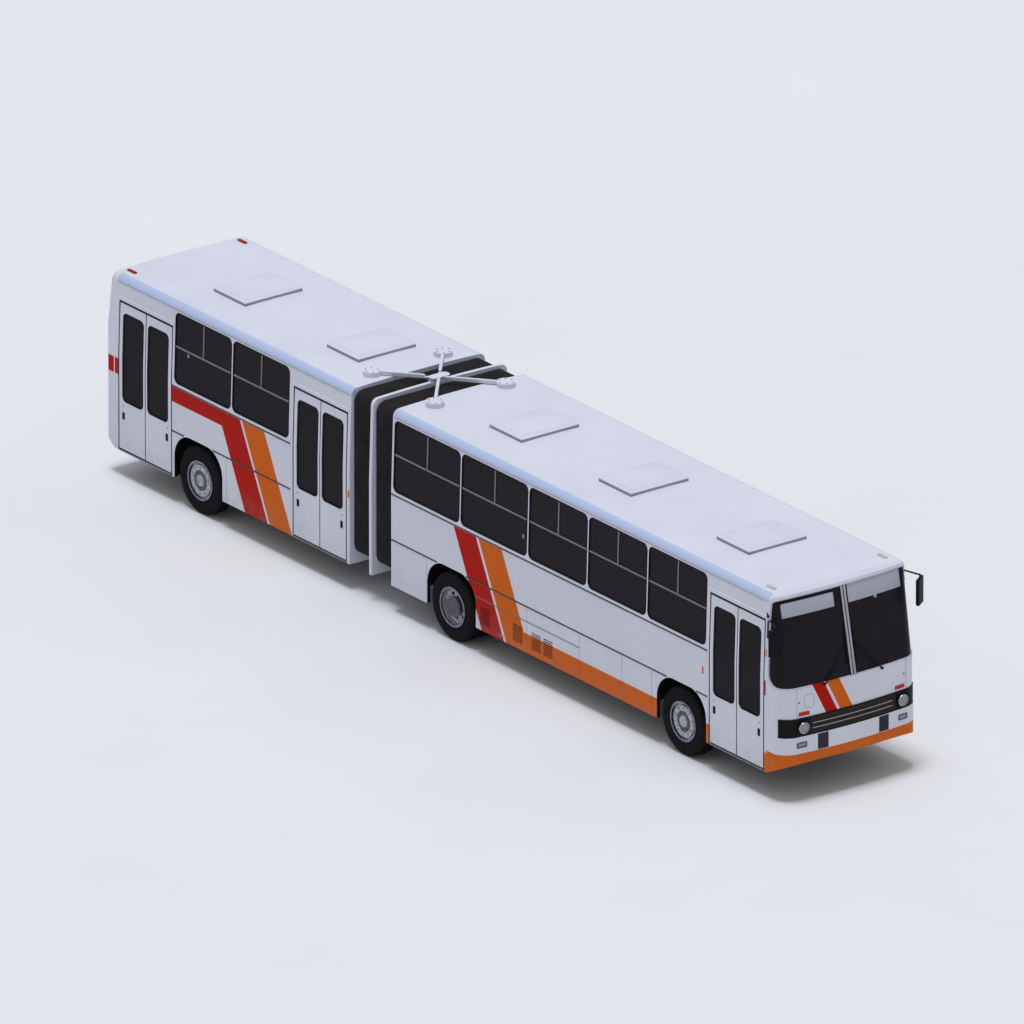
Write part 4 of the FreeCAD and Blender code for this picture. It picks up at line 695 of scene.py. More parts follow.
def setLight(scene):
    scene.world = bpy.data.worlds.new("Studio")
    scene.world.use_nodes = True
    tree = scene.world.node_tree
    tree.nodes.clear()
    ray = addNode(tree, "LightPath")
    direct = addNode(tree, "Math", (ray["Is Camera Ray"], ray["Is Glossy Ray"]), operation="MAXIMUM")[0]
    seen = addNode(tree, "Math", (direct, ray["Is Transmission Ray"]), operation="MAXIMUM")[0]
    power = addNode(tree, "MapRange", {"Value": seen, "To Min": stage["world"], "To Max": stage["seen"]})[0]
    glow = addNode(tree, "Background", {"Color": stage["sky"], "Strength": power})[0]
    addNode(tree, "OutputWorld", {"Surface": glow})
    lamp = bpy.data.lights.new("SoftSun", "SUN")
    lamp.energy, lamp.color, lamp.angle = stage["sun"], stage["sunColour"], math.radians(stage["sunAngle"])
    holder = bpy.data.objects.new("SoftSun", lamp)
    holder.rotation_euler = (-Vector(stage["sunFrom"])).to_track_quat("-Z", "Y").to_euler()
    scene.collection.objects.link(holder)


bpy.context.scene.view_settings.view_transform = "Standard"
setCamera(bpy.context.scene)
setFloor()
setLight(bpy.context.scene)
print("stage set")

bellows = {
    "half": 1.183, "low": 0.553, "high": 3.105, "round": 0.17, "deep": 0.055, "folds": 8, "samples": 14,
    "hem": 0.0025, "cloth": 0.003, "flat": (9.39, 1.03), "slack": 0.004, "hoopHalf": 0.032, "seated": 0.0003,
}


def foldedTube(name, x0, x1):
    # A rounded outline is carried along the bus, out to each ridge and in to each valley.
    bm = bmesh.new()
    half, r = bellows["half"], bellows["round"]
    middle = (bellows["low"] + bellows["high"]) / 2
    tall = (bellows["high"] - bellows["low"]) / 2
    face = addPlate(bm, (-half, -tall), (half, tall), r, 8)
    bmesh.ops.delete(bm, geom=[face], context="FACES_ONLY")
    bmesh.ops.subdivide_edges(bm, edges=[e for e in bm.edges if e.calc_length() > 0.5], cuts=9)
    ring = list(bm.edges)
    core = (half - r, tall - r)

    def shape(verts, depth, x):
        for v in verts:
            away = placed[v]
            inner = Vector((min(max(away.x, -core[0]), core[0]), min(max(away.y, -core[1]), core[1])))
            out = (away - inner).normalized()
            slack = bellows["slack"] * noise.noise(Vector((away.x * 1.7, away.y * 1.7, x * 6.0)))
            spot = inner + out * (r - depth - abs(slack))
            v.co = (x, spot.x, middle + spot.y)

    count = bellows["folds"] * bellows["samples"]
    placed = {v: Vector((v.co.x, v.co.y)) for v in bm.verts}
    for i in range(count + 1):
        t = (i / bellows["samples"]) % 1.0
        depth = bellows["deep"] * abs(math.cos(math.pi * t)) ** 1.5
        if abs(t - 0.5) < 0.06:
            depth -= bellows["hem"]
        if i:
            old = {tuple(v.co): placed[v] for e in ring for v in e.verts}
            made = bmesh.ops.extrude_edge_only(bm, edges=ring)["geom"]
            ring = [g for g in made if isinstance(g, bmesh.types.BMEdge)]
            fresh = {v for e in ring for v in e.verts}
            placed = {v: old[tuple(v.co)] for v in fresh}
        shape(list(placed), depth, x0 + (x1 - x0) * i / count)
    bmesh.ops.recalc_face_normals(bm, faces=bm.faces)
    bmesh.ops.solidify(bm, geom=bm.faces[:], thickness=bellows["cloth"])
    return finishPiece(bm, name, "bellows", None, sharp=60)


def makeBellows():
    hoopFront = body["pivot"] + bellows["hoopHalf"]
    hoopRear = body["pivot"] - bellows["hoopHalf"]
    front = foldedTube("FrontBellows", hoopFront + bellows["seated"], body["frontEnd"] - bellows["seated"])
    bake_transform(front)
    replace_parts(front, "front_bellows")
    rear = foldedTube("RearBellows", body["trailerEnd"] + bellows["seated"], hoopRear - bellows["seated"])
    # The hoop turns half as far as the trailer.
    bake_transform(rear)
    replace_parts(rear, "rear_bellows")


makeBellows()
print("bellows made")

tyre = {
    # distance from the tread's middle, radius
    "tread": [(0.0, 0.525), (0.018, 0.525), (0.019, 0.513), (0.027, 0.513), (0.028, 0.525), (0.062, 0.5243),
              (0.063, 0.512), (0.071, 0.512), (0.072, 0.5238)],
    "shoulder": [(0.092, 0.5225), (0.110, 0.518), (0.122, 0.507)],
    "sidewall": [(0.130, 0.490), (0.1365, 0.462), (0.1395, 0.430), (0.1395, 0.405), (0.1370, 0.384),
                 (0.1382, 0.380), (0.1370, 0.376), (0.133, 0.352), (0.1285, 0.333), (0.1300, 0.327),
                 (0.1285, 0.321), (0.1260, 0.3105), (0.1255, 0.298), (0.118, 0.2935)],
    "steps": 96, "notch": 0.005, "lugRim": 0.004, "wide": 0.28, "twinPitch": 0.325,
}


def addTyre(bm, middle, axle):
    half = tyre["tread"] + tyre["shoulder"] + tyre["sidewall"]
    rows = [(-a, r) for a, r in reversed(half[1:])] + half
    verts = [bm.verts.new((axle, middle + a, body["tyreRadius"] + r)) for a, r in rows]
    edges = [bm.edges.new(pair) for pair in zip(verts, verts[1:] + verts[:1])]
    bmesh.ops.spin(bm, geom=verts + edges, cent=(axle, 0, body["tyreRadius"]), axis=(0, 1, 0), angle=math.tau,
                   steps=tyre["steps"], use_merge=True)


def notchShoulders(bm, middle, axle):
    # Every second block of each shoulder is cut back, which makes the lugs.
    low, high = tyre["tread"][-1][0], tyre["shoulder"][-2][0]
    picked = []
    for face in bm.faces:
        c = face.calc_center_median()
        turn = math.atan2(c.x - axle, c.z - body["tyreRadius"]) / math.tau * tyre["steps"]
        if low < abs(c.y - middle) < high and round(turn - 0.5) % 2 == 0:
            picked.append(face)
    bmesh.ops.inset_individual(bm, faces=picked, thickness=tyre["lugRim"])
    for v in {v for f in picked for v in f.verts}:
        inward = Vector((axle - v.co.x, 0, body["tyreRadius"] - v.co.z)).normalized()
        v.co += inward * tyre["notch"]


def eachWheel():
    # An axle's name, the outer face of its tyres, the side, and the body that the wheel is.
    for where in ("front", "rear", "drive"):
        drive = where == "drive"
        for side, word in sideWords.items():
            yield (where, body["driveFace" if drive else "steerFace"], side, word,
                   where + ("_wheels_" if drive else "_wheel_") + word.lower())


def makeTyres():
    for where, face, side, word, rider in eachWheel():
        bm, axle = bmesh.new(), body[where + "Axle"]
        for i in range(2 if where == "drive" else 1):
            middle = side * (face - tyre["wide"] / 2 - i * tyre["twinPitch"])
            fresh = bmesh.new()
            addTyre(fresh, middle, axle)
            bmesh.ops.remove_doubles(fresh, verts=fresh.verts, dist=1e-5)
            notchShoulders(fresh, middle, axle)
            mergeInto(bm, fresh)
        piece = finishPiece(bm, where.capitalize() + "Tyre" + word, "tyre", rider, 40)
        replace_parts(piece, where + ("_tyres_" if where == "drive" else "_tyre_") + word.lower())


makeTyres()
print("tyres made")
window = {
    "low": 1.894, "high": 2.998, "round": 0.095, "seal": 0.018, "over": 0.004, "back": 0.013, "proud": 0.003,
    "barLow": 2.450, "barHigh": 2.478, "barHalf": 0.014, "barProud": 0.0125,
    "postProud": 0.012, "edge": 0.002, "glass": 0.012, "latch": (0.040, 0.055),
    "latchPads": {"front": (1.942, 2.180), "trailer": (-6.226, 2.400)},
}


def sideWindows():
    over, edge, middleHalf = window["over"], window["edge"], window["barHalf"]
    for section, rider in sections.items():
        for side, word in sideWords.items():
            rubber, frames = bmesh.new(), bmesh.new()
            for x0, x1 in windowRows[section] + (leftOnly[section] if side > 0 else []):
                addRing(rubber, (x0 - over, window["low"] - over), (x1 + over, window["high"] + over),
                        window["round"] + over, window["seal"], window["back"] + window["proud"], edge, 6)
                near, far, middle = x0 + window["seal"] - over, x1 - window["seal"] + over, (x0 + x1) / 2
                addBlock(frames, (near, window["barLow"], 0.0),
                         (far, window["barHigh"], window["barProud"]), edge)
                addBlock(frames, (middle - middleHalf, window["barHigh"], 0.0),
                         (middle + middleHalf, window["high"] - window["seal"] + over,
                          window["postProud"]), edge)
            for bm, name, finish in ((rubber, "WindowSeals", "seal"), (frames, "SlidingPaneBars", "bar")):
                toSide(bm, side, -window["back"])
                finishPiece(bm, section.capitalize() + name + word, finish, rider)
        onSide(section.capitalize() + "PaneLatch", lambda bm, side: addPad(
            bm, *around(window["latchPads"][section], window["latch"]), 0.008, 0.009, 0.002),
            "greyPlastic", rider, depth=-window["glass"])


sideWindows()

# Rub rails and gutters along the sides. The lower rail stops at the wheel arches.
trim = {
    "upper": (1.822, 1.846), "lower": (1.108, 1.132), "railBack": 0.002, "railProud": 0.005, "insert": 0.008,
    "insertEnd": 0.004, "insertProud": 0.007, "archBreak": 0.352, "greyRun": (0.814, 3.316),
    "greyLines": ((0.880, 0.886), (0.892, 0.898)), "gutter": (3.028, 3.043), "gutterBack": 0.006,
    "gutterProud": 0.006, "frontRun": (-1.238, 6.388), "trailerRun": (-6.602, -3.704),
    "frontGutter": (-1.198, 7.700), "trailerGutter": (-7.960, -2.292),
}


def railRuns(section):
    # Each run's ends and heights.
    start, end = trim[section + "Run"]
    yield start, end, trim["upper"]
    for axle in ("drive", "front") if section == "front" else ("rear",):
        middle = body[axle + "Axle"]
        if middle - trim["archBreak"] > start:
            yield start, middle - trim["archBreak"], trim["lower"]
        start = middle + trim["archBreak"]
    if end > start:
        yield start, end, trim["lower"]


def sideRails():
    for section, rider in sections.items():
        for side, word in sideWords.items():
            rubber, inserts, gutter = bmesh.new(), bmesh.new(), bmesh.new()
            for x0, x1, (low, high) in railRuns(section):
                addBlock(rubber, (x0, low, -trim["railBack"]), (x1, high, trim["railProud"]), 0.002)
                middle, half = (low + high) / 2, trim["insert"] / 2
                addBlock(inserts, (x0 + trim["insertEnd"], middle - half, 0.0),
                         (x1 - trim["insertEnd"], middle + half, trim["insertProud"]), 0.0015)
            if section == "front":
                for low, high in trim["greyLines"]:
                    addBlock(inserts, (trim["greyRun"][0], low, -0.001),
                             (trim["greyRun"][1], high, 0.003), 0.001)
            (x0, x1), (low, high) = trim[section + "Gutter"], trim["gutter"]
            addBlock(gutter, (x0, low, -trim["gutterBack"]), (x1, high, trim["gutterProud"]), 0.003)
            for bm, name, finish in ((rubber, "RubRails", "seal"), (inserts, "RubRailInserts", "bar"),
                                     (gutter, "RainGutter", "gutter")):
                toSide(bm, side)
                finishPiece(bm, section.capitalize() + name + word, finish, rider)


sideRails()

markers = [
    # name, finish, body, middle along and up, size
    ("FrontSideMarker", "orangeLens", "front_section", (6.280, 1.498), (0.030, 0.110)),
    ("TrailerSideMarker", "orangeLens", "trailer", (-2.276, 1.498), (0.030, 0.110)),
    ("NoseSideMarker", "orangeLens", "front_section", (7.778, 2.244), (0.024, 0.110)),
    ("NoseSideReflector", "redLens", "front_section", (7.768, 1.702), (0.022, 0.230)),
]
for name, finish, rider, middle, size in markers:
    onSide(name, lambda bm, side: addPad(bm, *around(middle, size), 0.004, 0.008, 0.003), finish, rider)

louvres = {
    "panels": [(0.922, 1.150), (1.708, 1.942), (2.164, 2.392), (2.446, 2.674)], "low": 0.502, "pitch": 0.0345,
    "slots": 8, "slit": 0.016, "slitEnd": 0.004, "hood": 0.014, "proud": 0.005, "back": 0.001, "flat": 0.002,
    "slope": 0.25,
}
catches = {"spans": [(1.378, 1.480), (2.668, 2.770)], "low": 0.456, "high": 0.476, "proud": 0.006}


def addLouvres(bm, hoods):
    # Pressed hoods, each over its slit. Without hoods, it draws black strips in the slits: painted shade for
    # the openings under the hoods.
    back, slit, hood = louvres["back"], louvres["slit"], louvres["hood"]
    for x0, x1 in louvres["panels"]:
        for i in range(louvres["slots"]):
            low = louvres["low"] + i * louvres["pitch"]
            if not hoods:
                end = louvres["slitEnd"]
                addBlock(bm, (x0 + end, low, -back), (x1 - end, low + slit, back))
                continue
            before = set(bm.verts)
            addBlock(bm, (x0, low + slit, -back), (x1, low + slit + hood, louvres["proud"]), 0.003, 1)
            for v in set(bm.verts) - before:
                if v.co.z > louvres["flat"] and v.co.y > low + slit + hood * 0.4:
                    v.co.z *= louvres["slope"]


def addCatches(bm, side):
    for x0, x1 in catches["spans"]:
        addPad(bm, (x0, catches["low"]), (x1, catches["high"]), 0.004, catches["proud"], 0.002)


onSide("LouvreHoods", lambda bm, side: addLouvres(bm, True), "frontSide", "front_section", sharp=25)
# The slits are black strips flush with the wall: painted shade for the openings under the hoods.
onSide("LouvreSlitShade", lambda bm, side: addLouvres(bm, False), "blackPlastic", "front_section")
onSide("FlapCatches", addCatches, "aluminium", "front_section")
print("side trim made")

doorFit = {
    "leafLow": 0.442, "leafHigh": 2.722, "top": 2.746, "nosing": 0.009, "nosingDeep": 0.030,
    "nosingBack": 0.002, "frame": 0.014, "frameLow": 0.402, "frameBack": 0.002, "frameProud": 0.004,
    # seals between leaf and frame: over the head, down the jambs and on the step
    "headSeal": (0.002, 0.003, -0.040, -0.003), "jambSeal": (0.009, 0.430, -0.045, -0.006),
    "stepSeal": (0.422, 0.439, -0.050, -0.004), "sill": (0.398, 0.420, -0.050, 0.003),
    "dripLow": 2.752, "dripHigh": 2.820, "dripProud": 0.018, "dripOver": 0.045, "dripFoot": 0.12,
    "handle": (0.072, 0.132), "handleLow": 0.910, "handleHigh": 1.024, "grip": (0.010, 0.026, 0.008),
    "key": (0.090, 1.120), "keyRadius": 0.012, "paneSeal": 0.016, "paneOver": 0.003,
}


def addDripRail(bm, x0, x1):
    # Stands off at its top and slopes back to the door's head.
    before = set(bm.verts)
    low, high, over, foot = doorFit["dripLow"], doorFit["dripHigh"], doorFit["dripOver"], doorFit["dripFoot"]
    addBlock(bm, (x0 - over, low, -0.002), (x1 + over, high, doorFit["dripProud"]), 0.002)
    for v in set(bm.verts) - before:
        if v.co.z > 0:
            v.co.z *= foot + (1 - foot) * min(max((v.co.y - low) / (high - low), 0.0), 1.0)


def makeDoorFrame(door, jamb):
    far, top = jamb + doorWide, doorFit["top"]
    seals, drip, sill = bmesh.new(), bmesh.new(), bmesh.new()
    wide, back, proud = doorFit["frame"], doorFit["frameBack"], doorFit["frameProud"]
    for x0, x1 in ((jamb - wide, jamb), (far, far + wide)):
        addBlock(seals, (x0, doorFit["frameLow"], -back), (x1, top + wide, proud), 0.002)
    addBlock(seals, (jamb, top, -back), (far, top + wide, proud), 0.002)
    end, gap, deep, shallow = doorFit["headSeal"]
    addBlock(seals, (jamb + end, doorFit["leafHigh"] + gap, deep), (far - end, top, shallow), 0.004)
    thick, low, deep, shallow = doorFit["jambSeal"]
    for x0, x1 in ((jamb, jamb + thick), (far - thick, far)):
        addBlock(seals, (x0, low, deep), (x1, top, shallow), 0.003)
    addDripRail(drip, jamb, far)
    for bm, key, edge in ((sill, "sill", 0.002), (seals, "stepSeal", 0.003)):
        low, high, deep, shallow = doorFit[key]
        addBlock(bm, (jamb, low, deep), (far, high, shallow), edge)
    for bm, name, finish in ((seals, "FrameSeal", "seal"), (drip, "DripRail", "white"),
                             (sill, "SillStrip", "aluminium")):
        toSide(bm, -1)
        finishPiece(bm, door.capitalize() + "Door" + name, finish,
                    sections["front" if door == "front" else "trailer"])


def makeLeafFittings(door, leaf, ends):
    start, toward = leafSpan(door, leaf)
    lead, over = start + toward * leafLines["wide"], doorFit["paneOver"]
    rubber, fittings, locks = bmesh.new(), bmesh.new(), bmesh.new()
    x0, x1 = sorted((lead, lead + toward * doorFit["nosing"]))
    addBlock(rubber, (x0, doorFit["leafLow"], -doorFit["nosingDeep"]),
             (x1, doorFit["leafHigh"], -doorFit["nosingBack"]), 0.003)
    addRing(rubber, (ends[0] - over, leafLines["low"] - over), (ends[1] + over, leafLines["high"] + over),
            leafLines["round"] + over, doorFit["paneSeal"], 0.003, 0.001, 6)
    x0, x1 = sorted(start + toward * reach for reach in doorFit["handle"])
    low, high = doorFit["handleLow"], doorFit["handleHigh"]
    inset, rise, drop = doorFit["grip"]
    addPad(fittings, (x0, low), (x1, high), 0.008, 0.003, 0.001)
    addPad(fittings, (x0 + inset, low + rise), (x1 - inset, high - drop), 0.006, 0.010, 0.003)
    r = doorFit["keyRadius"]
    addDisc(locks, (start + toward * doorFit["key"][0], doorFit["key"][1]),
            [(r, 0.0), (r, 0.003), (r * 0.75, 0.005), (r * 0.3, 0.005), (r * 0.3, 0.002)], 16)
    for bm, name, finish in ((rubber, "Rubbers", "seal"), (fittings, "Handle", "blackPlastic"),
                             (locks, "Keyhole", "forgedSteel")):
        toSide(bm, -1)
        finishPiece(bm, door.capitalize() + "Leaf" + leaf.upper() + name, finish, door + "_door_leaf_" + leaf)


for door, jamb in doors.items():
    makeDoorFrame(door, jamb)
for door, leaf, ends in panes():
    makeLeafFittings(door, leaf, ends)
print("doors fitted")

hatch = {
    "places": {"front": (6.028, 3.202, 0.564), "trailer": (-3.396, -6.168)}, "half": (0.3875, 0.520),
    # how far each part reaches past the lid, its heights and its rounding
    "lip": (0.004, 3.195, 3.203, 0.008), "crown": (-0.09, 3.200, 3.208, 0.004),
    "gasket": (0.004, 3.150, 3.1585, 0.003),
}


def makeRoof():
    for section, rider in sections.items():
        lids, gaskets = bmesh.new(), bmesh.new()
        for x in hatch["places"][section]:
            for bm, key in ((lids, "lip"), (lids, "crown"), (gaskets, "gasket")):
                over, low, high, edge = hatch[key]
                long, wide = hatch["half"][0] + over, hatch["half"][1] + over
                addBlock(bm, (x - long, -wide, low), (x + long, wide, high), edge)
        finishPiece(lids, section.capitalize() + "HatchLids", "white", rider)
        finishPiece(gaskets, section.capitalize() + "HatchGaskets", "seal", rider)


makeRoof()

cornerLamp = {
    "places": {"Front": ("front_section", "paleLens", 7.591), "Rear": ("trailer", "redLens", -7.910)},
    "across": 1.003, "half": (0.100, 0.030), "foot": 3.115, "base": 3.125, "top": 3.167, "edge": 0.022,
}


def addCornerLamp(bm, x, y):
    # A low lens, rounded off along its upper edges and corners.
    long, wide = cornerLamp["half"]
    before = set(bm.edges)
    addBlock(bm, (x - long, y - wide, cornerLamp["foot"]), (x + long, y + wide, cornerLamp["top"]))
    edges = [e for e in set(bm.edges) - before if max(v.co.z for v in e.verts) > cornerLamp["base"]]
    bmesh.ops.bevel(bm, geom=edges, offset=cornerLamp["edge"], segments=3, profile=0.6,
                    affect="EDGES", material=-1)


for where, (rider, finish, x) in cornerLamp["places"].items():
    bm = bmesh.new()
    for side in sideWords:
        addCornerLamp(bm, x, side * cornerLamp["across"])
    finishPiece(bm, where + "CornerLamps", finish, rider)
print("roof fitted")

screen = {
    "side": 7.845, "low": 1.760, "high": 3.052, "lowRound": 0.200, "highRound": 0.060,
    "post": 0.030, "over": 0.008, "gasket": 0.028, "back": 0.012, "proud": 0.004, "strip": (0.008, 0.045),
    "stripOver": 0.004, "stripProud": 0.007, "base": 0.056, "baseOver": 0.006, "panel": 0.004,
    "display": ((-1.090, 2.784), (-0.175, 3.000)), "rim": 0.014,
    "blind": ((0.078, 2.784), (1.055, 3.046)), "knob": ((0.565, 2.764), (0.044, 0.040)),
    "heights": (2.1, 2.25, 2.4, 2.55, 2.7, 2.85),
}


def screenOutline(side, grow):
    # One pane's outline: from the post along the bottom, round the corner, up the side and along the top.
    back, low, high = screen["side"] - grow, screen["low"] - grow, screen["high"] + grow
    lowRound, highRound = screen["lowRound"] + grow, screen["highRound"] + grow
    places = []
    for i in range(11):
        turn = math.pi / 2 * i / 10
        places.append((back + lowRound * (1 - math.sin(turn)), low + lowRound * (1 - math.cos(turn))))
    places += [(back, z) for z in screen["heights"]]
    for i in range(6):
        turn = math.pi / 2 * i / 5
        places.append((back + highRound * (1 - math.cos(turn)), high - highRound * (1 - math.sin(turn))))
    post = screen["post"] - grow
    spots = [(post, low)] + [(noseReach(x, z), z) for x, z in places] + [(post, high)]
    return [(side * along, z) for along, z in spots]


def addGasket(bm):
    for side in sideWords:
        before = set(bm.faces)
        face = bm.faces.new([bm.verts.new((x, y, 0)) for x, y in screenOutline(side, screen["over"])])
        pushOut(bm, frameOf(bm, face, before, screen["gasket"]), screen["back"] + screen["proud"], 0.003)


def addDivider(bm):
    over = screen["stripOver"]
    for side in sideWords:
        x0, x1 = sorted(side * place for place in screen["strip"])
        addBlock(bm, (x0, screen["low"] - over, -0.002),
                 (x1, screen["high"] + over, screen["stripProud"]), 0.004)


def addDisplayRim(bm):
    (x0, z0), (x1, z1) = screen["display"]
    rim = screen["rim"]
    addRing(bm, (x0 - rim, z0 - rim), (x1 + rim, z1 + rim), 0.036, 0.016, 0.006, 0.002, 5)


def addBlind(bm):
    addPad(bm, *screen["blind"], 0.006, screen["panel"], 0.002, 3)
    addPad(bm, *around(*screen["knob"]), 0.010, 0.007, 0.002)


behind = {"proud": -screen["back"] + 0.001}
onNose("WindscreenGasket", addGasket, "seal", proud=-screen["back"], pitch=0.05)
onNose("WindscreenPostCover", lambda bm: addBlock(
    bm, (-screen["base"], screen["low"] - screen["baseOver"], -0.010),
    (screen["base"], screen["high"] + screen["baseOver"], 0.002), 0.002), "seal")
onNose("WindscreenDivider", addDivider, "lightMetal")
onNose("DestinationDisplay", lambda bm: addPad(bm, *screen["display"], 0.022, screen["panel"], 0.002, 5),
       "displayFilm", **behind)
onNose("DestinationRim", addDisplayRim, "seal", **behind)
onNose("SunVisorPanel", addBlind, "displayFilm", **behind)

wiper = {
    # the arm's foot, where it meets the blade, and the blade's two ends
    "places": ((0.520, 1.730), (0.080, 2.215), (0.082, 1.915), (0.076, 2.515)), "pivot": 0.022,
    # from and to, as shares of a run, then width, underside, top and rounding
    "arm": [(0.0, 0.35, 0.026, 0.014, 0.030, 0.005), (0.35, 1.0, 0.014, 0.016, 0.024, 0.003)],
    "blade": [(0.0, 1.0, 0.007, -0.0105, 0.004, 0.001), (0.0, 1.0, 0.012, 0.003, 0.010, 0.002),
              (0.18, 0.45, 0.016, 0.009, 0.016, 0.002), (0.55, 0.82, 0.016, 0.009, 0.016, 0.002)],
    "joint": (0.03, 0.018, 0.013, 0.026, 0.003),
}


def addBar(bm, start, end, wide, low, high, edge):
    # A bar between two places on the mask.
    run = Vector(end) - Vector(start)
    before = set(bm.verts)
    addBlock(bm, (0, -wide / 2, low), (run.length, wide / 2, high), edge)
    turn = math.atan2(run.y, run.x)
    for v in set(bm.verts) - before:
        x, y = v.co.x, v.co.y
        v.co.x = start[0] + x * math.cos(turn) - y * math.sin(turn)
        v.co.y = start[1] + x * math.sin(turn) + y * math.cos(turn)


def addWipers(bm):
    r = wiper["pivot"]
    for side in sideWords:
        foot, meet, low, high = (Vector((side * x, z)) for x, z in wiper["places"])
        addDisc(bm, foot, [(r, 0.0), (r, 0.018), (r * 0.7, 0.024), (r * 0.7, 0.030), (r * 0.3, 0.033)], 20)
        for rows, start, end in ((wiper["arm"], foot, meet), (wiper["blade"], low, high)):
            for near, far, *section in rows:
                addBar(bm, start.lerp(end, near), start.lerp(end, far), *section)
        reach, *section = wiper["joint"]
        addBar(bm, meet - Vector((0, reach)), meet + Vector((0, reach)), *section)


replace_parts(onNose("Wipers", addWipers, "blackPlastic"), "wipers")
print("windscreen fitted")

mirrorFit = {
    "heads": ((-1, 2.730, 1.340), (1, 2.930, 1.260)), "x": 8.145, "toe": 35.0, "back": 0.024,
    "pane": (0.206, 0.376), "high": 0.400, "thick": 0.002, "grow": 0.007, "lap": 0.003,
    # the bracket on the mask, then the clamp's upright, bar and short upright: ends, heights and depths
    "brackets": [((7.793, 7.819), (2.480, 2.740), (-0.004, 0.012), 0.004),
                 ((7.780, 7.792), (2.795, 2.865), (-0.006, 0.016), 0.003),
                 ((7.780, 7.820), (2.822, 2.838), (-0.006, 0.014), 0.003),
                 ((7.808, 7.820), (2.795, 2.830), (-0.006, 0.016), 0.003)],
}


def makeMirrors():
    glass, rims = bmesh.new(), bmesh.new()
    grow, size = mirrorFit["grow"], mirrorFit["pane"]
    for side, top, y in mirrorFit["heads"]:
        toe = side * math.radians(mirrorFit["toe"])
        for bm in (glass, rims):
            before = set(bm.verts)
            if bm is glass:
                addPad(bm, *around((0, 0), size), 0.020, mirrorFit["thick"], 0.0008, 5)
            else:
                addRing(bm, *around((0, 0), size, grow), 0.026, grow + mirrorFit["lap"], 0.004, 0.001, 5)
            for v in set(bm.verts) - before:
                across, up, out = v.co
                x = -mirrorFit["back"] - out
                v.co = (mirrorFit["x"] + x * math.cos(toe) - across * math.sin(toe),
                        side * y + x * math.sin(toe) + across * math.cos(toe),
                        top - mirrorFit["high"] / 2 + up)
    finishPiece(glass, "MirrorPanes", "mirror", "front_section")
    finishPiece(rims, "MirrorRims", "seal", "front_section")


def addBrackets(bm, side):
    for (x0, x1), (low, high), (deep, proud), edge in mirrorFit["brackets"]:
        addBlock(bm, (x0, low, deep), (x1, high, proud), edge)


makeMirrors()
onSide("MirrorBrackets", addBrackets, "blackPlastic", "front_section")
print("mirrors fitted")

front = {
    "seam": ((0.985, 1.520), (0.006, 0.464)), "seamDeep": (-0.002, 0.0008),
    "flap": ((-0.860, 1.420), (-0.700, 1.630)), "lock": (0.947, 1.525), "lockRadius": 0.015,
    "indicator": ((0.864, 1.345), (0.180, 0.056)), "lamp": (0.894, 1.143), "lampX": 8.214,
    "bezel": (0.212, 0.212), "mesh": (-0.770, 0.770, 1.018, 1.270), "meshRows": 10, "meshPitch": 0.044,
    "meshWire": (0.0045, 0.0035), "meshProud": (0.0040, 0.0030), "grille": 0.014, "strips": (1.177, 1.101),
    "stripSpan": (-0.728, 0.716), "stripHalf": 0.006, "fog": ((0.911, 0.874), (0.168, 0.088)),
    "fogFrame": 0.011, "fogLens": ((0.911, 0.87576), (0.12768, 0.04928)), "bumper": 0.020,
    "towPanel": ((0.549, 0.870), (0.180, 0.240)), "towRibs": 5, "towRib": (0.012, 0.004, 0.0035),
    # headlamp: radius and how far each turn of the profile stands off
    "ring": [(0.0905, -0.010), (0.0905, 0.026), (0.086, 0.0335), (0.080, 0.0335), (0.078, 0.026)],
    "lens": [(0.0785, 0.024), (0.070, 0.0285), (0.052, 0.0320), (0.028, 0.0335), (0.008, 0.034)],
    "rib": (0.066, 0.0045, 0.020, 0.0338),
}


def addSeams(bm):
    deep, proud = front["seamDeep"]
    for side in sideWords:
        (y, z), size = front["seam"]
        low, high = around((side * y, z), size)
        addBlock(bm, (*low, deep), (*high, proud))
    addRing(bm, *front["flap"], 0.030, 0.005, 0.0015, 0.0, 5)


def addLocks(bm):
    y, z = front["lock"]
    r = front["lockRadius"]
    for side in sideWords:
        addDisc(bm, (side * y, z),
                [(r, 0.0), (r, 0.003), (r * 0.8, 0.005), (r * 0.35, 0.005), (r * 0.35, 0.002)], 16)


def addMesh(bm):
    x0, x1, z0, z1 = front["mesh"]
    (tall, wide), (rowProud, wireProud) = front["meshWire"], front["meshProud"]
    for i in range(front["meshRows"]):
        z = z0 + (z1 - z0) * (i + 0.5) / front["meshRows"]
        addBlock(bm, (x0, z - tall, -0.001), (x1, z + tall, rowProud))
    count = int((x1 - x0) / front["meshPitch"])
    for i in range(count + 1):
        x = x0 + (x1 - x0) * i / count
        addBlock(bm, (x - wide, z0, -0.001), (x + wide, z1, wireProud))


def addChromeStrips(bm):
    x0, x1 = front["stripSpan"]
    for z in front["strips"]:
        addBlock(bm, (x0, z - front["stripHalf"], 0.0), (x1, z + front["stripHalf"], 0.0055), 0.002)


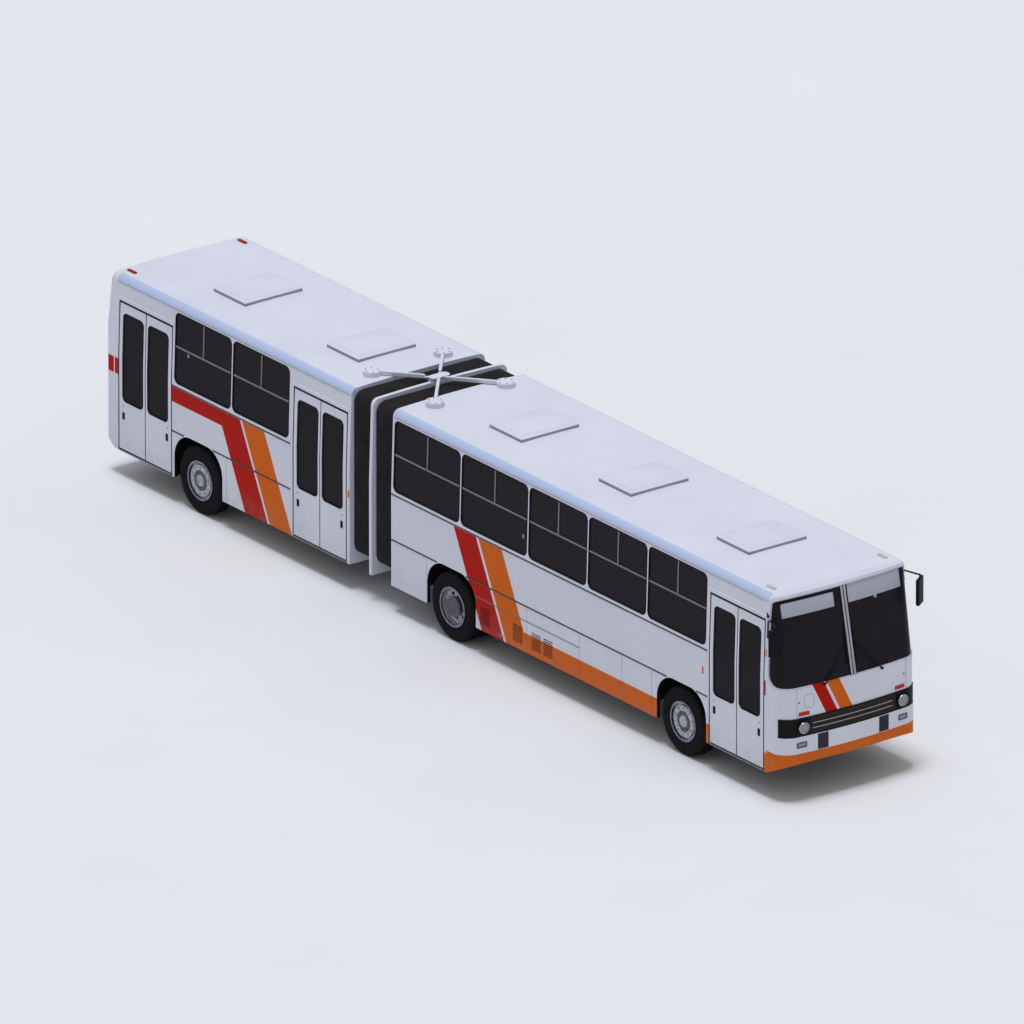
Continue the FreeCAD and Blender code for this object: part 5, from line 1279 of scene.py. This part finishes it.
def makeHeadlamps():
    # Turned parts of the headlamps, facing forwards.
    y, z = front["lamp"]
    long, thin, low, high = front["rib"]
    rings, lenses, ribs = bmesh.new(), bmesh.new(), bmesh.new()
    for side in sideWords:
        addDisc(rings, (side * y, z), front["ring"], 40)
        addDisc(lenses, (side * y, z), front["lens"], 40)
        for turn in (0, math.pi / 2):
            before = set(ribs.verts)
            addBlock(ribs, (-long, -thin, low), (long, thin, high), 0.001)
            for v in set(ribs.verts) - before:
                a, b, out = v.co
                v.co = (side * y + a * math.cos(turn) - b * math.sin(turn),
                        z + a * math.sin(turn) + b * math.cos(turn), out - thin * (abs(a) / long) ** 2)
    for bm, name, finish in ((rings, "HeadlampRings", "chrome"), (lenses, "HeadlampLenses", "clearLens"),
                             (ribs, "HeadlampRibHighlights", "lampRibHighlight")):
        for v in bm.verts:
            a, b, out = v.co
            v.co = (front["lampX"] + out, a, b)
        finishPiece(bm, name, finish, "front_section")


def addTowPanels(bm):
    addPair(bm, addPad, front["towPanel"], 0.004, 0.0015, 0.0)
    addPair(bm, addRing, front["towPanel"], 0.004, 0.008, 0.004, 0.001, 3)
    inset, half, proud = front["towRib"]
    for side in sideWords:
        (y, middle), size = front["towPanel"]
        (x0, low), (x1, high) = around((side * y, middle), size)
        for i in range(1, front["towRibs"]):
            z = low + (high - low) * i / front["towRibs"]
            addBlock(bm, (x0 + inset, z - half, 0.0), (x1 - inset, z + half, proud), 0.001)


grilled, bumped = {"proud": front["grille"]}, {"proud": front["bumper"]}
onNose("FrontPanelSeams", addSeams, "seamFiller")
onNose("FrontPanelLocks", addLocks, "forgedSteel")
onNose("FrontIndicators", lambda bm: addPair(bm, addPad, front["indicator"], 0.008, 0.012, 0.005),
       "indicatorLens")
onNose("GrilleMesh", addMesh, "grilleMesh", **grilled)
onNose("GrilleStrips", addChromeStrips, "chrome", proud=front["grille"] - 0.001)
onNose("HeadlampBezels", lambda bm: addPair(
    bm, addRing, (front["lamp"], front["bezel"]), 0.014, 0.012, 0.006, 0.002, 3), "blackPlastic",
    pitch=0.04, **grilled)
makeHeadlamps()
onNose("FogLampFrames", lambda bm: addPair(bm, addRing, front["fog"], 0.010, 0.012, 0.010, 0.003),
       "bar", **bumped)
onNose("FogLampBacks",
       lambda bm: addPair(bm, addPad, front["fog"], 0.006, 0.002, 0.0, grow=-front["fogFrame"]),
       "blackPlastic", **bumped)
onNose("FogLampLenses", lambda bm: addPair(bm, addPad, front["fogLens"], 0.010, 0.008, 0.003),
       "clearLens", **bumped)
onNose("TowPanels", addTowPanels, "darkPanel", **bumped)
print("front fitted")

wheelFit = {
    "nuts": 10, "nutRadius": 0.015, "thick": 0.003,
    # nuts: radius of their ring, foot and end
    "steerNuts": (0.123, -0.019, -0.003), "driveNuts": (0.143, -0.107, -0.084),
    # turned profiles: radius, and height from the outer tyre's face
    "disc": [(0.243, -0.026), (0.241, -0.014), (0.232, -0.010), (0.218, -0.009), (0.192, -0.009),
             (0.166, -0.008), (0.160, -0.011), (0.156, -0.022)],
    "dish": [(0.2745, -0.030), (0.2745, -0.070), (0.268, -0.095), (0.250, -0.108), (0.217, -0.113),
             (0.170, -0.109), (0.122, -0.104)],
    "hubCover": [(0.157, -0.030), (0.157, -0.014), (0.150, -0.005), (0.130, -0.003), (0.127, -0.009),
                 (0.113, -0.009), (0.110, -0.003), (0.088, -0.002), (0.085, -0.008), (0.062, -0.008),
                 (0.058, -0.001), (0.030, 0.000), (0.026, 0.005), (0.010, 0.006)],
    "hubDrum": [(0.121, -0.140), (0.121, -0.060), (0.140, -0.050), (0.140, -0.029)],
    "hubCap": [(0.087, -0.019), (0.087, -0.006), (0.080, 0.001), (0.060, 0.004), (0.056, 0.001),
               (0.030, 0.001), (0.026, 0.005), (0.010, 0.006)],
    "hubFlange": [(0.157, -0.040), (0.157, -0.021), (0.152, -0.019), (0.096, -0.018)],
    # hand holes: from and to what radius, how many, and how many steps wide
    "discSteps": 60, "discHoles": (0.190, 0.220, 10, 1), "dishSteps": 64, "dishHoles": (0.160, 0.222, 8, 3),
}


def addNuts(bm, ring, low, high):
    r = wheelFit["nutRadius"]
    for i in range(wheelFit["nuts"]):
        turn = math.tau * (i + 0.5) / wheelFit["nuts"]
        addDisc(bm, (ring * math.cos(turn), ring * math.sin(turn)),
                [(r * 1.3, low), (r * 1.3, low + 0.003), (r, low + 0.004), (r, high - 0.006),
                 (r * 0.55, high - 0.005), (r * 0.5, high)], 6)


def addPressing(bm, profile, steps, cutouts):
    # A pressed steel disc, turned from its profile, with hand holes cut through it.
    low, high, count, wide = cutouts
    turned = bmesh.new()
    rows = [turned.verts.new((r, 0, z)) for r, z in profile]
    edges = [turned.edges.new(pair) for pair in zip(rows, rows[1:])]
    bmesh.ops.spin(turned, geom=rows + edges, cent=(0, 0, 0), axis=(0, 0, 1), angle=math.tau, steps=steps,
                   use_merge=True)
    holes = []
    for face in turned.faces:
        c = face.calc_center_median()
        turn = math.atan2(c.x, c.y) / math.tau * steps
        if low < math.hypot(c.x, c.y) < high and round(turn - 0.5) % (steps // count) < wide:
            holes.append(face)
    bmesh.ops.delete(turned, geom=holes, context="FACES")
    bmesh.ops.recalc_face_normals(turned, faces=turned.faces)
    bmesh.ops.solidify(turned, geom=turned.faces[:], thickness=wheelFit["thick"])
    mergeInto(bm, turned)


def makeWheelFittings():
    for where, face, side, word, rider in eachWheel():
        nuts, hub, rings = bmesh.new(), bmesh.new(), bmesh.new()
        if where == "drive":
            addNuts(nuts, *wheelFit["driveNuts"])
            addDisc(rings, (0, 0), wheelFit["hubCover"], 48)
            addDisc(rings, (0, 0), wheelFit["hubDrum"], 40)
            addPressing(hub, wheelFit["dish"], wheelFit["dishSteps"], wheelFit["dishHoles"])
        else:
            addNuts(nuts, *wheelFit["steerNuts"])
            addDisc(hub, (0, 0), wheelFit["hubCap"], 40)
            addDisc(rings, (0, 0), wheelFit["hubFlange"], 40)
            addPressing(hub, wheelFit["disc"], wheelFit["discSteps"], wheelFit["discHoles"])
        for bm, name, finish in ((nuts, "WheelNuts", "forgedSteel"), (hub, "HubCap", "wheelSteel"),
                                 (rings, "HubFlange", "hubPaint")):
            # Local (x, y, z) becomes along the bus, height, and outwards from the wheel's face.
            for v in bm.verts:
                x, y, z = v.co
                v.co = (body[where + "Axle"] + x, side * (face + z), body["tyreRadius"] + y)
            finishPiece(bm, where.capitalize() + name + word, finish, rider)


makeWheelFittings()
print("wheel fittings made")

rear = {
    "window": ((0.0, 2.405), (1.960, 0.950)), "windowRound": 0.110, "seal": (0.026, 0.016), "lampX": 1.090,
    "lampWide": 0.140,
    "lamps": [(0.690, 0.770, "clearLens"), (0.790, 0.910, "redLens"), (0.930, 1.030, "orangeLens")],
    "lampBacks": ((1.090, 0.860), (0.164, 0.364)), "plate": ((0.0, 0.6975), (0.520, 0.115)),
    "vents": ((0.6025, 0.887), (0.375, 0.014)), "ventRows": 6, "ventPitch": 0.045,
    "reflector": ((0.900, 0.580), (0.090, 0.035)),
}


def onTail(name, make, finish, back=0.0):
    bm = bmesh.new()
    make(bm)
    for v in bm.verts:
        v.co.z -= back
    toTail(bm)
    finishPiece(bm, name, finish, "trailer")


# Each vent slot is a dark pad on the tail: painted shade for its opening.
def addVents(bm):
    (x, z), size = rear["vents"]
    for i in range(rear["ventRows"]):
        addPair(bm, addPad, ((x, z + i * rear["ventPitch"]), size), 0.006, 0.0015, 0.0, 3)


onTail("RearWindowSeal", lambda bm: addRing(
    bm, *around(*rear["window"], window["over"]), rear["windowRound"] + window["over"],
    *rear["seal"], 0.002, 8),
    "seal", window["back"])
onTail("TailLampBacks", lambda bm: addPair(bm, addPad, rear["lampBacks"], 0.012, 0.004, 0.002),
       "blackPlastic")
for low, high, lens in rear["lamps"]:
    place = ((rear["lampX"], (low + high) / 2), (rear["lampWide"], high - low))
    onTail("TailLamps" + lens.capitalize(), lambda bm: addPair(bm, addPad, place, 0.010, 0.012, 0.005), lens)
onTail("RearPlate", lambda bm: addPad(bm, *around(*rear["plate"]), 0.010, 0.006, 0.002), "greyPlastic")
onTail("RearVentSlotShade", addVents, "darkPanel")
onTail("RearReflectors", lambda bm: addPair(bm, addPad, rear["reflector"], 0.006, 0.008, 0.003), "redLens")
print("tail fitted")

jointFit = {"feet": (0.763, 0.645), "boltRing": 0.105, "bolts": 6, "boltRadius": 0.013, "top": 3.226}


def makeJointFittings():
    ring, r, top = jointFit["boltRing"], jointFit["boltRadius"], jointFit["top"]
    for direction, rider, title in ((1, "front_section", "Front"), (-1, "trailer", "Trailer")):
        bolts = bmesh.new()
        for side in sideWords:
            x, y = body["pivot"] + direction * jointFit["feet"][0], side * jointFit["feet"][1]
            for i in range(jointFit["bolts"]):
                turn = math.tau * (i + 0.5) / jointFit["bolts"]
                addDisc(bolts, (x + ring * math.cos(turn), y + ring * math.sin(turn)),
                        [(r, top - 0.002), (r, top + 0.004), (r * 0.7, top + 0.0058)], 6)
        finishPiece(bolts, title + "LinkBolts", "forgedSteel", rider)


makeJointFittings()

cabin = {
    "floor": 0.92, "ceiling": 3.09, "pole": 0.0175, "poleY": 0.52, "bend": 2.55, "rail": 2.86, "railY": 0.62,
    "frontPoles": [6.40, 4.60, 3.10, 1.70, -0.60], "trailerPoles": [-2.30, -3.75, -5.00, -6.50, -7.60],
    "frontRail": (-1.10, 6.30), "trailerRail": (-7.70, -2.29),
}


def makePoles():
    rail, bend = cabin["rail"], cabin["bend"]
    for section, rider in sections.items():
        lines = []
        for side in sideWords:
            y, foot = side * cabin["railY"], side * cabin["poleY"]
            lines.append([(x, y, rail) for x in cabin[section + "Rail"]])
            for x in cabin[section + "Poles"]:
                lines.append([(x, foot, cabin["floor"]), (x, foot, bend), (x, y, rail),
                              (x, y, cabin["ceiling"])])
        sweep(section.capitalize() + "GrabPoles", lines, cabin["pole"], "aluminium", rider)


makePoles()
print("inside fitted")
